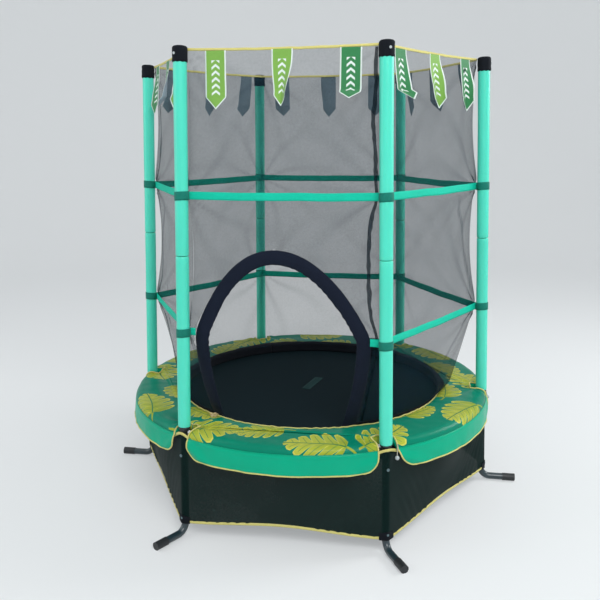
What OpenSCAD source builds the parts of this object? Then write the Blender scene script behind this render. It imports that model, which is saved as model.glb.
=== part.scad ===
// Round trampoline for a small child, with a safety net held by six padded poles.
// Millimetres, +Z up. The origin is on the floor under the middle of the mat,
// and the doorway faces -Y.

/* [Frame] */
// Radius of the round top rail, to the middle of its tube
rail_r = 638; // [580:1:700]
// Height of the middle of the top rail above the floor
rail_z = 335; // [300:1:400]
// Outside diameter of the rail and leg tubes
tube_d = 25; // [22:0.5:28]
// Wall of every steel tube
tube_wall = 1.5; // [1.2:0.1:2]
// Lean of the legs and poles towards the middle, in degrees
lean = 2.17; // [1:0.01:3]
// Steel between the rail and a leg in each saddle
saddle_gap = 3; // [2:0.5:6]
// Width of a saddle along the rail
saddle_w = 40; // [30:1:50]
// Thickness of the shelf of a saddle under the rail
shelf_t = 3; // [2:0.5:5]
// Radius of the bend above each foot, to the middle of the tube
foot_bend_r = 36; // [30:1:36]
// Straight length of each foot on the floor
foot_len = 94; // [60:1:120]
// Length of the plastic sleeve on the end of each foot
tip_len = 45; // [25:1:55]
// Wall of that sleeve
tip_wall = 1.5; // [1:0.5:3]

/* [Poles] */
// Overall height, to the top of the corner pockets
total_h = 1590; // [1450:5:1750]
// Height at which each upper pole plugs into its lower pole
pole_joint_z = 955; // [850:5:1050]
// Length of a pole inside the leg
pole_insert = 90; // [75:1:120]
// Length of the plug at the foot of an upper pole
plug_len = 60; // [40:1:90]
// Outside diameter of the foam sleeves
sleeve_d = 42; // [36:1:48]
// Gap between the two foam sleeves of a pole
sleeve_split = 3; // [2:0.5:6]
// Height of the lower foam sleeve above the top of the rail
sleeve_lift = 22; // [18:1:40]

/* [Net] */
// Height of the upper webbing, to its middle
upper_strap_z = 1143; // [1060:1:1250]
// Height of the lower webbing, to its middle
lower_strap_z = 698; // [640:1:780]
// Width of the webbing
strap_w = 25; // [15:1:40]
// Thickness of the webbing
strap_t = 1.5; // [1:0.25:2.5]
// Thickness of the net
net_t = 1.5; // [1:0.25:2]
// Radius of the net's round bottom edge
net_bottom_r = 499; // [470:1:500]
// How round the net hangs between the upper webbing and its top edge, 0 to 1
round_top = 0.12; // [0.05:0.01:0.3]
// How round the net hangs between the two webbings, 0 to 1
round_mid = 0.2; // [0.1:0.05:0.5]
// How far the round parts of the net are drawn in
net_draw = 22; // [20:1:30]
// How far out the net stands just over the pad, 0 at its foot and 1 at the lower webbing
net_belly = 0.32; // [0.1:0.02:0.4]
// Diameter of the binding on the net's top edge
cord_d = 7; // [5:0.5:9]
// Height of a corner pocket
pocket_h = 47; // [40:1:60]
// Wall of a corner pocket
pocket_t = 2; // [1.5:0.25:3]

/* [Doorway] */
// Half the width of the doorway, to the middle of its padded binding
door_half_w = 264; // [230:1:270]
// Half the width between its feet, to the middle of the binding
door_foot_w = 222; // [200:1:245]
// Height of the widest place of the doorway, where the lower webbing pulls on it
door_wide_z = 690; // [640:1:700]
// Height of the top of the doorway, to the middle of the binding
door_top_z = 952; // [880:1:1000]
// How far the doorway stands left of its panel's middle at its feet
door_foot_x = 27; // [0:1:30]
// The same at its widest place
door_wide_x = 7; // [0:1:15]
// The same at its top
door_top_x = 29; // [0:1:40]
// Width of the padded binding
arch_w = 46; // [30:1:55]
// Thickness of the padded binding
arch_t = 18; // [10:1:24]

/* [Pennants] */
// Width of a pennant
pennant_w = 65; // [45:1:90]
// Length of a pennant, to its point
pennant_len = 175; // [120:5:190]
// Length of the point
pennant_tip = 38; // [20:1:60]
// Distance between pennants
pennant_pitch = 205; // [150:1:220]
// Thickness of a pennant
pennant_t = 1.2; // [0.8:0.1:2]

/* [Mat] */
// Radius of the jumping mat
mat_r = 525; // [515:1:530]
// Thickness of the mat
mat_t = 3; // [2:0.5:4]
// Height of the mat above the middle of the rail
mat_rise = 8; // [5:0.5:9]
// Number of elastic loops, a multiple of six
loop_n = 36; // [24:6:42]
// Thickness of an elastic loop
loop_t = 5; // [3:0.5:5]
// Wire of the rings on the mat's edge
ring_wire = 4; // [3:0.5:5]
// Radius of those rings, to the middle of their wire
ring_r = 9; // [7:0.5:12]

/* [Pad] */
// Inside radius of the ring pad
pad_inner_r = 503; // [502:1:515]
// Radius of the crease between the pad's top and its flap
pad_outer_r = 678; // [670:1:700]
// Thickness of the pad at its edges
pad_t = 22; // [16:1:30]
// How much higher the pad stands in the middle of its width
pad_crown = 5; // [2:0.5:10]
// Thickness of the cover
cover_t = 1.5; // [1:0.25:2.5]
// How far the flap hangs below the crease
flap_drop = 84; // [60:1:110]
// How far the flap stands out at its foot
flap_flare = 10; // [4:1:20]
// Width of the notch for a pole
notch_w = 66; // [60:1:80]
// Radius of the flap's corners beside a notch
notch_r = 40; // [25:1:50]
// Diameter of the piping
piping_d = 6; // [4:0.5:7]

/* [Skirt] */
// Height of the skirt's bottom corners above the floor
skirt_low_z = 58; // [56:1:90]
// How much higher the bottom edge is between the legs
skirt_arch = 18; // [10:1:40]
// Thickness of the skirt
skirt_t = 1.2; // [0.8:0.1:2]
// Width of the binding on its edges
binding_w = 10; // [6:1:14]
// Thickness of that binding
binding_t = 2.8; // [2.2:0.1:4]

/* [Fasteners] */
// Diameter of the bolts
bolt_d = 6; // [5:0.5:7]
// Diameter of the bolt heads
head_d = 10; // [8:0.5:12]
// Height of the bolts through the legs and poles
leg_bolt_z = 289; // [275:1:300]
// Diameter of the snaps and rivets
snap_d = 8; // [6:0.5:10]
// Diameter of the ball on a pad tie
ball_d = 14; // [10:0.5:16]
// Diameter of the cord of a pad tie
tie_d = 3; // [2:0.5:4]

/* [Hidden] */

$fn = 48;
pole_n = 6;
panel_step = 360 / pole_n;
half_step = panel_step / 2;

// Clearances
slip = 0.2;          // a tube in a tube, on the radius
touch = 0.1;         // a part laid on a part
soft_gap = 0.3;      // foam or webbing round a tube
net_gap = 1;         // net to webbing
joint_gap = 1;       // pennant to the binding above it
seam_gap = 0.0015;   // share of a panel left open at each seam

// Tubes
tube_r = tube_d / 2;
tube_bore = tube_d - 2 * tube_wall;
pole_d = tube_bore - 2 * slip;
pole_bore = pole_d - 2 * tube_wall;
plug_d = pole_bore - 2 * slip;

// The line of a leg and its pole: all six lines meet above the middle
pole_base_r = rail_r + tube_d + saddle_gap + rail_z * tan(lean);
function pole_a(i) = -120 + panel_step * i;
function panel_a(i) = pole_a(i) + half_step;
function pole_r(z) = pole_base_r - z * tan(lean);
function along(z) = z / cos(lean);

// Heights
rail_top = rail_z + tube_r;
leg_rise = 5;        // top of a leg above the rail
leg_top = rail_top + leg_rise;
pole_seat_z = leg_top - pole_insert;
sleeve_r = sleeve_d / 2;
sleeve_low_z = rail_top + sleeve_lift;
cap_t = 2;
pole_top = total_h - pocket_t - cap_t - 2 * touch;
pocket_r = sleeve_r + soft_gap + pocket_t;
cord_z = total_h - pocket_t - cord_d;
net_top = cord_z - cord_d / 2 - touch;

// Pad
bungee_room = 1;
pad_low = rail_top + loop_t + bungee_room;
pad_mid = pad_low + pad_t / 2;
pad_top = pad_low + pad_t;
crease_z = pad_top - cover_t;
flap_low = crease_z - flap_drop;
notch_room = 4;      // pad to foam sleeve
notch_in = pole_r(pad_top) - sleeve_r - notch_room;
net_foot = 2;        // net and doorway above the pad's underside
net_low = pad_low + net_foot;

// Feet
tip_r = tube_r + touch + tip_wall;
sole_cut = 0.8;
foot_z = tip_r - sole_cut;
bend_low = foot_z + foot_bend_r * (1 - sin(lean));
bend_x = pole_r(bend_low) + foot_bend_r * cos(lean);

// Webbing and net
loop_r = sleeve_r + soft_gap + strap_t;
function strap_corner(z) = pole_r(z) - loop_r + strap_t / 2;
function strap_out(z) = strap_corner(z) * cos(half_step);
function strap_half(z) = strap_corner(z) * sin(half_step) + strap_t / 2;
function hex_n(z) = strap_out(z) - strap_t - net_gap - net_t;
function hex_r(z) = hex_n(z) / cos(half_step);
function mix(a, b, k) = a + (b - a) * k;
function roundness(z) =
    z >= upper_strap_z ? round_top * sin(180 * (z - upper_strap_z) / (net_top - upper_strap_z))
    : z >= lower_strap_z ? round_mid * sin(180 * (z - lower_strap_z) / (upper_strap_z - lower_strap_z))
    : min(1, (lower_strap_z - z) / (lower_strap_z - pad_top));
// Away from the doorway the net lies out over the pad before it climbs to the lower webbing
belly_low = pad_top + 4;
belly_high = pad_top + 18;
function belly_roundness(z) =
    z >= lower_strap_z ? roundness(z)
    : z > belly_high ? mix(0, 1 - net_belly, (lower_strap_z - z) / (lower_strap_z - belly_high))
    : 1 - net_belly * max(0, (z - belly_low) / (belly_high - belly_low));
function pole_belly(i) = i % pole_n > 1 ? 1 : 0;
function belly(i, u) = mix(pole_belly(i), pole_belly(i + 1), (1 + u) / 2);
function drawn_r(z) = z >= lower_strap_z ? hex_n(z) - net_draw : net_bottom_r;
// A point of the net's inner face in its panel's own frame: u runs -1 to 1 from seam to seam,
// out is how far the point lies outside that face, and belly how far it bellies out over the pad, 0 to 1
function net_point(u, z, out = 0, belly = 0) =
    let (k = mix(roundness(z), belly_roundness(z), belly), a = half_step * u)
    [mix(hex_n(z), drawn_r(z) * cos(a), k) + out,
     mix(hex_r(z) / 2 * u, drawn_r(z) * sin(a), k) * (1 + out / hex_n(z)), z];
function net_half(z) = net_point(1, z)[1];
function turned(p, a) = [p[0] * cos(a) - p[1] * sin(a), p[0] * sin(a) + p[1] * cos(a), p[2]];

// Doorway: half its width and its middle at a height, and the line of its binding from foot to foot
door_rise = door_top_z - door_wide_z;
door_pow = 1.1;
door_round = 0.485;
function door_x(z) = z < door_wide_z
    ? mix(door_half_w, door_foot_w, pow((door_wide_z - z) / (door_wide_z - net_low), 2))
    : door_half_w * pow(max(0, 1 - pow((z - door_wide_z) / door_rise, door_pow)), door_round);
function door_mid(z) = -(z < door_wide_z
    ? mix(door_wide_x, door_foot_x, (door_wide_z - z) / (door_wide_z - net_low))
    : mix(door_wide_x, door_top_x, (z - door_wide_z) / door_rise));
arch_foot_z = net_low + net_foot;
side_steps = 6;
top_steps = 9;
door_side = [
    [door_x(arch_foot_z), arch_foot_z],
    for (i = [0 : side_steps - 1])
        let (z = mix(pad_top, door_wide_z, i / side_steps)) [door_x(z), z],
    for (i = [0 : top_steps - 1])
        let (z = door_wide_z + door_rise * sin(90 * i / top_steps)) [door_x(z), z]];
door_line = concat(
    [for (p = door_side) [door_mid(p[1]) - p[0], p[1]]],
    [[-door_top_x, door_top_z]],
    [for (i = [len(door_side) - 1 : -1 : 0]) let (p = door_side[i]) [door_mid(p[1]) + p[0], p[1]]]);

// Skirt
// Clear of the legs, also halfway between two sampled directions
wrap_r = (tube_r + soft_gap) / cos(half_step / 2) + (binding_t - skirt_t) / 2;
binding_room = 2;    // the skirt's top binding below the top of the rail
skirt_top = rail_top - binding_room - binding_w;
rail_clear = 2;      // skirt to the elastic loops
skirt_top_r = rail_r + tube_r + soft_gap + loop_t + rail_clear;
skirt_low_n = pole_r(skirt_low_z) * cos(half_step) + wrap_r;
// Directions sampled round one leg, close together where the cloth turns round it
leg_dirs = [-30, -24, -18, -12, -7, -3, -1.2, -0.55, 0, 0.55, 1.2, 3, 7, 12, 18, 24];
ring_dirs = [for (i = [0 : pole_n - 1]) for (d = leg_dirs) pole_a(i) + d];
function off_leg(a) = abs(((a + 180 + half_step) % panel_step + panel_step) % panel_step - half_step);
function skirt_low(a) = skirt_low_z + skirt_arch * pow(sin(3 * off_leg(a)), 2);
// The skirt at a height is the cloth pulled round the six legs and a hoop that shrinks downwards
function hoop_r(z) = mix(skirt_low_n, skirt_top_r, (z - skirt_low_z) / (skirt_top - skirt_low_z));
function reach(a, z) = max(hoop_r(z), pole_r(z) * cos(off_leg(a)) + wrap_r);
function skirt_r(a, z) = min([for (d = [-36 : 3 : 36]) reach(a + d, z) / cos(d)]);

// Fasteners
bolt_hole = bolt_d + 0.4;
cloth_hole = bolt_hole + 1;
bolt_cut = 2 * tube_d;          // a cut that goes right through a tube
head_h = 2.6;
nut_h = 5;
bolt_out = wrap_r + skirt_t + soft_gap;
joint_turn = 2;      // degrees from a rail joint to its bolt
plug_turn = 4;       // degrees of rail that the plug fills on each side of the joint

// ---------------------------------------------------------------- helpers
module on_pole(i, z = 0)
    rotate([0, 0, pole_a(i)]) translate([pole_r(z), 0, z]) rotate([0, -lean, 0]) children();

module ring_tube(d, bore, h)
    difference() {
        cylinder(d = d, h = h);
        translate([0, 0, -1]) cylinder(d = bore, h = h + 2);
    }

module pole_tube(i, z0, z1, d, bore)
    on_pole(i, z0) ring_tube(d, bore, along(z1 - z0));

module rod(p, q, d) {
    v = q - p;
    len_v = norm(v);
    translate(p) rotate([0, acos(v[2] / len_v), atan2(v[1], v[0])]) cylinder(d = d, h = len_v);
}

// A closed thin sheet from two grids of points, outside face first
module sheet_solid(outer, inner) {
    rows = len(outer);
    cols = len(outer[0]);
    n = rows * cols;
    pts = concat([for (r = outer) each r], [for (r = inner) each r]);
    function id(r, c) = r * cols + c;
    faces = [
        for (r = [0 : rows - 2]) for (c = [0 : cols - 2])
            each [[id(r, c), id(r, c + 1), id(r + 1, c + 1)], [id(r, c), id(r + 1, c + 1), id(r + 1, c)],
                  [n + id(r, c), n + id(r + 1, c + 1), n + id(r, c + 1)],
                  [n + id(r, c), n + id(r + 1, c), n + id(r + 1, c + 1)]],
        for (c = [0 : cols - 2])
            each [[id(0, c), n + id(0, c + 1), id(0, c + 1)], [id(0, c), n + id(0, c), n + id(0, c + 1)],
                  [id(rows - 1, c), id(rows - 1, c + 1), n + id(rows - 1, c + 1)],
                  [id(rows - 1, c), n + id(rows - 1, c + 1), n + id(rows - 1, c)]],
        for (r = [0 : rows - 2])
            each [[id(r, 0), id(r + 1, 0), n + id(r + 1, 0)], [id(r, 0), n + id(r + 1, 0), n + id(r, 0)],
                  [id(r, cols - 1), n + id(r + 1, cols - 1), id(r + 1, cols - 1)],
                  [id(r, cols - 1), n + id(r, cols - 1), n + id(r + 1, cols - 1)]]];
    polyhedron(points = pts, faces = faces, convexity = 6);
}

// A closed band round the object: rings[k] is one section of it, all sections alike.
// The second half of a section is cut on the other diagonal, so that a thin wall's two sides stay apart
module band_solid(rings) {
    n = len(rings);
    m = len(rings[0]);
    pts = [for (r = rings) each r];
    function id(k, j) = (k % n) * m + j % m;
    faces = [for (k = [0 : n - 1]) for (j = [0 : m - 1])
        each j < m / 2
            ? [[id(k, j), id(k, j + 1), id(k + 1, j + 1)], [id(k, j), id(k + 1, j + 1), id(k + 1, j)]]
            : [[id(k, j), id(k, j + 1), id(k + 1, j)], [id(k, j + 1), id(k + 1, j + 1), id(k + 1, j)]]];
    polyhedron(points = pts, faces = faces, convexity = 6);
}

// ---------------------------------------------------------------- frame
rail_turn = 120;
function rail_start(k) = -90 + rail_turn * k;

module rail_arc(turn, d)
    rotate_extrude(angle = turn, $fn = 180) translate([rail_r, 0]) circle(d = d);

module rail_bolt_hole(a)
    rotate([0, 0, a]) translate([rail_r, 0, -tube_d]) cylinder(d = bolt_hole, h = bolt_cut);

// A third of the top rail, with the plug at its end that fills the start of the next one
module rail_section(k)
    color("#1b2326") rotate([0, 0, rail_start(k + 1)]) translate([0, 0, rail_z]) difference() {
        union() {
            rail_arc(-rail_turn, tube_d);
            rail_arc(plug_turn, tube_bore - 2 * slip);
        }
        difference() {
            rail_arc(-rail_turn, tube_bore);
            rail_arc(-plug_turn, tube_bore + tube_wall);
        }
        rail_arc(2 * plug_turn, tube_bore - 2 * slip - 2 * tube_wall);
        rail_arc(-2 * plug_turn, tube_bore - 2 * slip - 2 * tube_wall);
        rail_bolt_hole(joint_turn);
        rail_bolt_hole(joint_turn - rail_turn);
        rail_bolt_hole(-half_step);
        rail_bolt_hole(half_step - rail_turn);
    }

bend_thin = 0.3;     // a tube is this much thinner in its bend
bend_lap = 2;        // degrees that the bend runs on inside the straight tube

// The tube of a leg, in the frame of its bend: x points from the bend's middle to the tube
module leg_run(i, d, past = 0)
    rotate([0, 0, pole_a(i)]) translate([bend_x, 0, foot_z + foot_bend_r]) rotate([90, 0, 0])
        rotate([0, 0, 180 + lean]) {
            translate([foot_bend_r, 0, 0]) rotate([90, 0, 0]) cylinder(d = d, h = along(leg_top - bend_low) + past);
            rotate([0, 0, -bend_lap]) rotate_extrude(angle = 90 - lean + 2 * bend_lap, $fn = 96)
                translate([foot_bend_r, 0]) circle(d = d - bend_thin);
            rotate([0, 0, 90 - lean]) translate([foot_bend_r, 0, 0]) rotate([-90, 0, 0])
                cylinder(d = d, h = foot_len + past);
        }

module leg(i)
    color("#22303a") difference() {
        leg_run(i, tube_d);
        leg_run(i, tube_bore, 1);
        on_pole(i, leg_bolt_z) rotate([0, 90, 0]) cylinder(d = bolt_hole, h = bolt_cut, center = true);
    }

module foot_tips()
    color("#171c1f") for (i = [0 : pole_n - 1])
        rotate([0, 0, pole_a(i)]) translate([bend_x + foot_len - tip_len, 0, foot_z]) difference() {
            rotate([0, 90, 0]) cylinder(r = tip_r, h = tip_len + tip_wall);
            translate([-1, 0, 0]) rotate([0, 90, 0]) cylinder(r = tube_r + touch, h = tip_len + 1 + touch);
            translate([-1, -tip_r, -2 * tip_r - foot_z]) cube([tip_len + 2 * tip_wall + 2, 2 * tip_r, 2 * tip_r]);
        }

module rail_saddles()
    color("#1b2326") for (i = [0 : pole_n - 1]) rotate([0, 0, pole_a(i)]) difference() {
        translate([0, -saddle_w / 2, rail_z - tube_r - touch - shelf_t]) {
            translate([rail_r - head_d, 0, 0]) cube([head_d + tube_d, saddle_w, shelf_t]);
            translate([rail_r + tube_r / 2, 0, 0]) cube([tube_r + saddle_gap, saddle_w, tube_r + shelf_t + mat_rise]);
        }
        translate([0, 0, rail_z]) {
            rotate([0, 0, -plug_turn]) rail_arc(2 * plug_turn, tube_d + 2 * touch);
            rail_bolt_hole(0);
        }
        translate([pole_r(0), 0, 0]) rotate([0, -lean, 0]) cylinder(d = tube_d + 2 * touch, h = along(rail_z + tube_d));
    }

// A bolt through the rail, with its nut under a thickness of steel
module standing_bolt(under)
    translate([rail_r, 0, rail_z]) {
        translate([0, 0, tube_r + touch]) cylinder(d = head_d, h = head_h);
        translate([0, 0, -tube_r - under - nut_h]) {
            cylinder(d = bolt_d, h = tube_d + under + nut_h + head_h / 2);
            translate([0, 0, -touch]) cylinder(d = head_d, h = nut_h, $fn = 6);
        }
    }

module rail_bolts()
    color("silver") {
        for (i = [0 : pole_n - 1]) rotate([0, 0, pole_a(i)]) standing_bolt(shelf_t + touch);
        for (k = [0 : 2]) rotate([0, 0, rail_start(k) + joint_turn]) standing_bolt(0);
    }

// ---------------------------------------------------------------- poles
module pole_lower(i)
    color("#20282c") difference() {
        pole_tube(i, pole_seat_z, pole_joint_z, pole_d, pole_bore);
        on_pole(i, leg_bolt_z) rotate([0, 90, 0]) cylinder(d = bolt_hole, h = bolt_cut, center = true);
    }

module pole_upper(i)
    color("#20282c") on_pole(i, pole_joint_z) difference() {
        union() {
            cylinder(d = pole_d, h = along(pole_top - pole_joint_z));
            translate([0, 0, -plug_len]) cylinder(d = plug_d, h = plug_len + 1);
        }
        translate([0, 0, plug_len / 3]) cylinder(d = pole_bore, h = along(total_h));
        translate([0, 0, -plug_len - 1]) cylinder(d = plug_d - 2 * tube_wall, h = 2 * plug_len);
    }

module foam_sleeves(i)
    color("#48e4be") {
        pole_tube(i, sleeve_low_z, pole_joint_z - sleeve_split / 2, sleeve_d, pole_d + 2 * soft_gap);
        pole_tube(i, pole_joint_z + sleeve_split / 2, pole_top - cap_t, sleeve_d, pole_d + 2 * soft_gap);
    }

module pole_end_caps()
    color("#20282c") for (i = [0 : pole_n - 1]) on_pole(i, pole_top) {
        translate([0, 0, touch]) cylinder(d = pole_d, h = cap_t);
        translate([0, 0, -2 * cap_t]) cylinder(d = pole_bore - 2 * slip, h = 2 * cap_t + 1);
    }

module pole_bolts()
    color("#e8ecec") for (i = [0 : pole_n - 1]) on_pole(i, leg_bolt_z) rotate([0, 90, 0]) {
        translate([0, 0, -tube_r - touch - nut_h]) cylinder(d = bolt_d, h = bolt_out + tube_r + touch + nut_h + 1);
        translate([0, 0, bolt_out]) cylinder(d = head_d, h = head_h);
        translate([0, 0, -tube_r - touch - nut_h]) cylinder(d = head_d, h = nut_h, $fn = 6);
    }

// ---------------------------------------------------------------- net
// Heights of the net's rows: it stands upright behind the pad, and has a row at each tie
net_rows = concat(
    [net_low, pad_top, belly_low],
    [for (i = [0 : 3]) mix(belly_high, lower_strap_z, i / 4)],
    [for (i = [0 : 5]) mix(lower_strap_z, upper_strap_z, i / 6)],
    [for (i = [0 : 4]) mix(upper_strap_z, net_top, i / 4)]);
net_cols = 8;
function net_grid(i, out) = [for (z = net_rows) [for (c = [0 : net_cols])
    let (u = (2 * c / net_cols - 1) * (1 - seam_gap)) turned(net_point(u, z, out, belly(i, u)), panel_a(i))]];

module net_sheet(i) color("#3a4850", 0.6) sheet_solid(net_grid(i, net_t), net_grid(i, 0));

function line_normal(i) =
    let (a = door_line[max(0, i - 1)], b = door_line[min(len(door_line) - 1, i + 1)], v = b - a)
    [-v[1], v[0]] / norm(v);

// The cut for the doorway and its binding, which reaches a little past the seams near its feet
module door_cut() {
    edge = [for (i = [0 : len(door_line) - 1]) door_line[i] + line_normal(i) * (arch_w / 2 + soft_gap)];
    below = arch_foot_z - pad_t;
    cut = concat([[edge[0][0], below]], edge, [[edge[len(edge) - 1][0], below]]);
    translate([0, arch_w - net_bottom_r * cos(half_step), 0]) rotate([90, 0, 0])
        linear_extrude(height = rail_r) polygon(cut);
}

module net_panel(i) difference() {
    net_sheet(i);
    if (i == 1 || i == pole_n - 1) door_cut();
}

module net_door_panel() difference() {
    net_sheet(0);
    door_cut();
}

// The padded binding: an oval section carried along the doorway on the net's face,
// flat and drawn inwards where its feet go behind the pad
arch_sides = 12;
foot_thin = 0.35;
foot_in = 2.5;
function at_foot(z) = z <= pad_top;
function arch_thick(z) = arch_t / 2 * (at_foot(z) ? foot_thin : 1);
function arch_centre(p) =
    let (out = net_t / 2 - (at_foot(p[1]) ? foot_in : 0),
         q = net_point(min(1, max(-1, p[0] / net_half(p[1]))), p[1], out),
         past_seam = max(0, abs(p[0]) - net_half(p[1])))
    [p[0], past_seam * tan(half_step * (2 - roundness(p[1]))) - q[0], p[1]];
// The way from the binding's middle line straight in from the net
function arch_inward(p) =
    let (k = roundness(p[1]), a = half_step * min(1, max(-1, p[0] / net_half(p[1]))))
    [-k * sin(a), mix(1, cos(a), k), 0];
module door_arch() {
    n = len(door_line);
    centre = [for (p = door_line) arch_centre(p)];
    rings = [for (i = [0 : n - 1])
        let (v = centre[min(n - 1, i + 1)] - centre[max(0, i - 1)], dir = v / norm(v),
             side = cross(dir, arch_inward(door_line[i])), wide = side / norm(side), thick = cross(wide, dir))
        [for (k = [0 : arch_sides - 1]) let (a = 360 * k / arch_sides)
            centre[i] + wide * cos(a) * arch_w / 2 + thick * sin(a) * arch_thick(centre[i][2])]];
    m = arch_sides;
    faces = concat(
        [for (i = [0 : n - 2]) for (k = [0 : m - 1])
            each [[i * m + k, i * m + (k + 1) % m, (i + 1) * m + (k + 1) % m],
                  [i * m + k, (i + 1) * m + (k + 1) % m, (i + 1) * m + k]]],
        [for (k = [1 : m - 2]) [0, k + 1, k]],
        [for (k = [1 : m - 2]) [(n - 1) * m, (n - 1) * m + k, (n - 1) * m + k + 1]]);
    color("#15191d") polyhedron(points = [for (r = rings) each r], faces = faces, convexity = 8);
}

// The binding runs from corner to corner and is sewn into the walls of the pockets
cord_n = (pole_r(cord_z) - pocket_r + pocket_t / 2) * cos(half_step) - cord_d / 2;
cord_sides = 12;

module net_top_cord()
    color("#e4e0a4") band_solid([for (i = [0 : pole_n - 1]) [for (k = [0 : cord_sides - 1])
        let (t = -360 * k / cord_sides, r = (cord_n + cos(t) * cord_d / 2) / cos(half_step))
        [r * cos(pole_a(i)), r * sin(pole_a(i)), cord_z + sin(t) * cord_d / 2]]]);

module corner_pockets()
    color("#121619") for (i = [0 : pole_n - 1]) on_pole(i, total_h - pocket_h) difference() {
        cylinder(r = pocket_r, h = along(pocket_h));
        translate([0, 0, -1]) cylinder(r = pocket_r - pocket_t, h = along(pocket_h - pocket_t) + 1);
    }

module pocket_rivets()
    color("white") for (i = [0 : pole_n - 1]) on_pole(i, total_h - pocket_h / 2)
        rotate([0, 90, 0]) translate([0, 0, pocket_r + touch - pocket_t / 2]) cylinder(d = snap_d, h = head_h);

module strap_loop(i, z)
    on_pole(i, z) translate([0, 0, -strap_w / 2]) ring_tube(2 * loop_r, 2 * (loop_r - strap_t), strap_w);

module strap_run(i, z, from, to)
    rotate([0, 0, panel_a(i)]) translate([strap_out(z) - strap_t, from, z - strap_w / 2])
        cube([strap_t, to - from, strap_w]);

module upper_strap()
    color("#10a888") for (i = [0 : pole_n - 1]) {
        strap_loop(i, upper_strap_z);
        strap_run(i, upper_strap_z, -strap_half(upper_strap_z), strap_half(upper_strap_z));
    }

module lower_strap() {
    half = strap_half(lower_strap_z);
    stub = door_half_w + arch_w / 2 + soft_gap;
    color("#10a888") {
        for (i = [0 : pole_n - 1]) strap_loop(i, lower_strap_z);
        for (i = [1 : pole_n - 1]) strap_run(i, lower_strap_z, -half, half);
        strap_run(0, lower_strap_z, -half, door_mid(lower_strap_z) - stub);
        strap_run(0, lower_strap_z, door_mid(lower_strap_z) + stub, half);
    }
}

// ---------------------------------------------------------------- pennants
pennant_n = hex_n(net_top) + net_t + joint_gap;
pennant_top = cord_z - cord_d / 2 - joint_gap;
// the pennants lie along the net, which leans with the poles
pennant_lean = atan((hex_n(0) - hex_n(net_top)) / net_top);

module pennants(i)
    color("#4a9a4e") rotate([0, 0, panel_a(i)]) for (k = [-1 : 1])
        translate([pennant_n, k * pennant_pitch, pennant_top]) rotate([0, -pennant_lean, 0])
            rotate([90, 0, 90]) linear_extrude(height = pennant_t)
                polygon([[-pennant_w / 2, 0], [-pennant_w / 2, pennant_tip - pennant_len], [0, -pennant_len],
                         [pennant_w / 2, pennant_tip - pennant_len], [pennant_w / 2, 0]]);

// ---------------------------------------------------------------- mat and its springs
mat_z = rail_z + mat_rise - mat_t;
ring_z = mat_z + mat_t / 2;
ring_at = mat_r + ring_wire;
function loop_a(k) = (k + 0.5) * 360 / loop_n;

module jump_mat() color("#14191c") translate([0, 0, mat_z]) cylinder(r = mat_r, h = mat_t, $fn = 180);

module mat_rings()
    color("silver") for (k = [0 : loop_n - 1]) rotate([0, 0, loop_a(k)]) translate([ring_at, 0, ring_z])
        translate([0, 0, -ring_wire / 2]) ring_tube(2 * ring_r + ring_wire, 2 * ring_r - ring_wire, ring_wire);

// The outline of a belt round the rail and the ring's wire, grown by g
rail_steps = 12;
ring_steps = 4;
function arc_points(middle, r, from, to, steps) =
    [for (i = [0 : steps]) let (a = mix(from, to, i / steps)) middle + r * [cos(a), sin(a)]];
// The ring's wire curves away by ring_sag at the belt's two edges
ring_bore_r = ring_r - ring_wire / 2;
ring_sag = ring_bore_r - sqrt(pow(ring_bore_r, 2) - pow(loop_t / 2, 2));
function belt(g) =
    let (far = [ring_at + ring_r - rail_r, ring_z - rail_z],
         big = tube_r + soft_gap + g,
         small = (norm([ring_wire / 2 + ring_sag, ring_wire / 2]) + soft_gap) / cos(90 / ring_steps) + g,
         lie = atan2(far[1], far[0]),
         turn = acos((big - small) / norm(far)))
    concat(arc_points([0, 0], big, lie + turn, lie - turn + 360, rail_steps),
           arc_points(far, small, lie - turn, lie + turn, ring_steps));

module bungee_loops()
    color("#2b3136") for (k = [0 : loop_n - 1]) rotate([0, 0, loop_a(k)]) translate([rail_r, loop_t / 2, rail_z])
        rotate([90, 0, 0]) linear_extrude(height = loop_t) difference() {
            polygon(belt(loop_t));
            polygon(belt(0));
        }

// ---------------------------------------------------------------- pad
// Half section of the ring pad, drawn in by an inset
crown_steps = 8;
function pad_section(inset) = concat(
    [for (a = [270 : -15 : 90]) [pad_inner_r + pad_t / 2 + (pad_t / 2 - inset) * cos(a),
                                 pad_mid + (pad_t / 2 - inset) * sin(a)]],
    [for (i = [1 : crown_steps - 1]) [mix(pad_inner_r + pad_t / 2, pad_outer_r - inset, i / crown_steps),
                                      pad_top + pad_crown * sin(180 * i / crown_steps) - inset]],
    [[pad_outer_r - inset, pad_top - inset], [pad_outer_r - inset, pad_low + inset]]);

module notch(i, extra = 0) {
    half = notch_w / 2 + extra;
    rotate([0, 0, pole_a(i)]) translate([notch_in - extra, 0, 0]) rotate([90, 0, 90])
        linear_extrude(height = pad_outer_r) {
            translate([-half, flap_low - 1]) square([2 * half, pad_top + pad_t - flap_low]);
            difference() {
                translate([-half - notch_r, flap_low - 1]) square([2 * (half + notch_r), notch_r + 1]);
                for (s = [-1, 1]) translate([s * (half + notch_r), flap_low + notch_r]) circle(r = notch_r);
            }
        }
}

module pad_cover()
    color("#0c9a74") difference() {
        rotate_extrude($fn = 180) {
            difference() {
                polygon(pad_section(0));
                polygon(pad_section(cover_t));
            }
            polygon([[pad_outer_r - cover_t / 2, pad_top - cover_t], [pad_outer_r, pad_top - cover_t / 2],
                     [pad_outer_r + flap_flare, flap_low], [pad_outer_r + flap_flare - cover_t, flap_low],
                     [pad_outer_r - cover_t, crease_z - cover_t]]);
        }
        for (i = [0 : pole_n - 1]) notch(i);
    }

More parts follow.
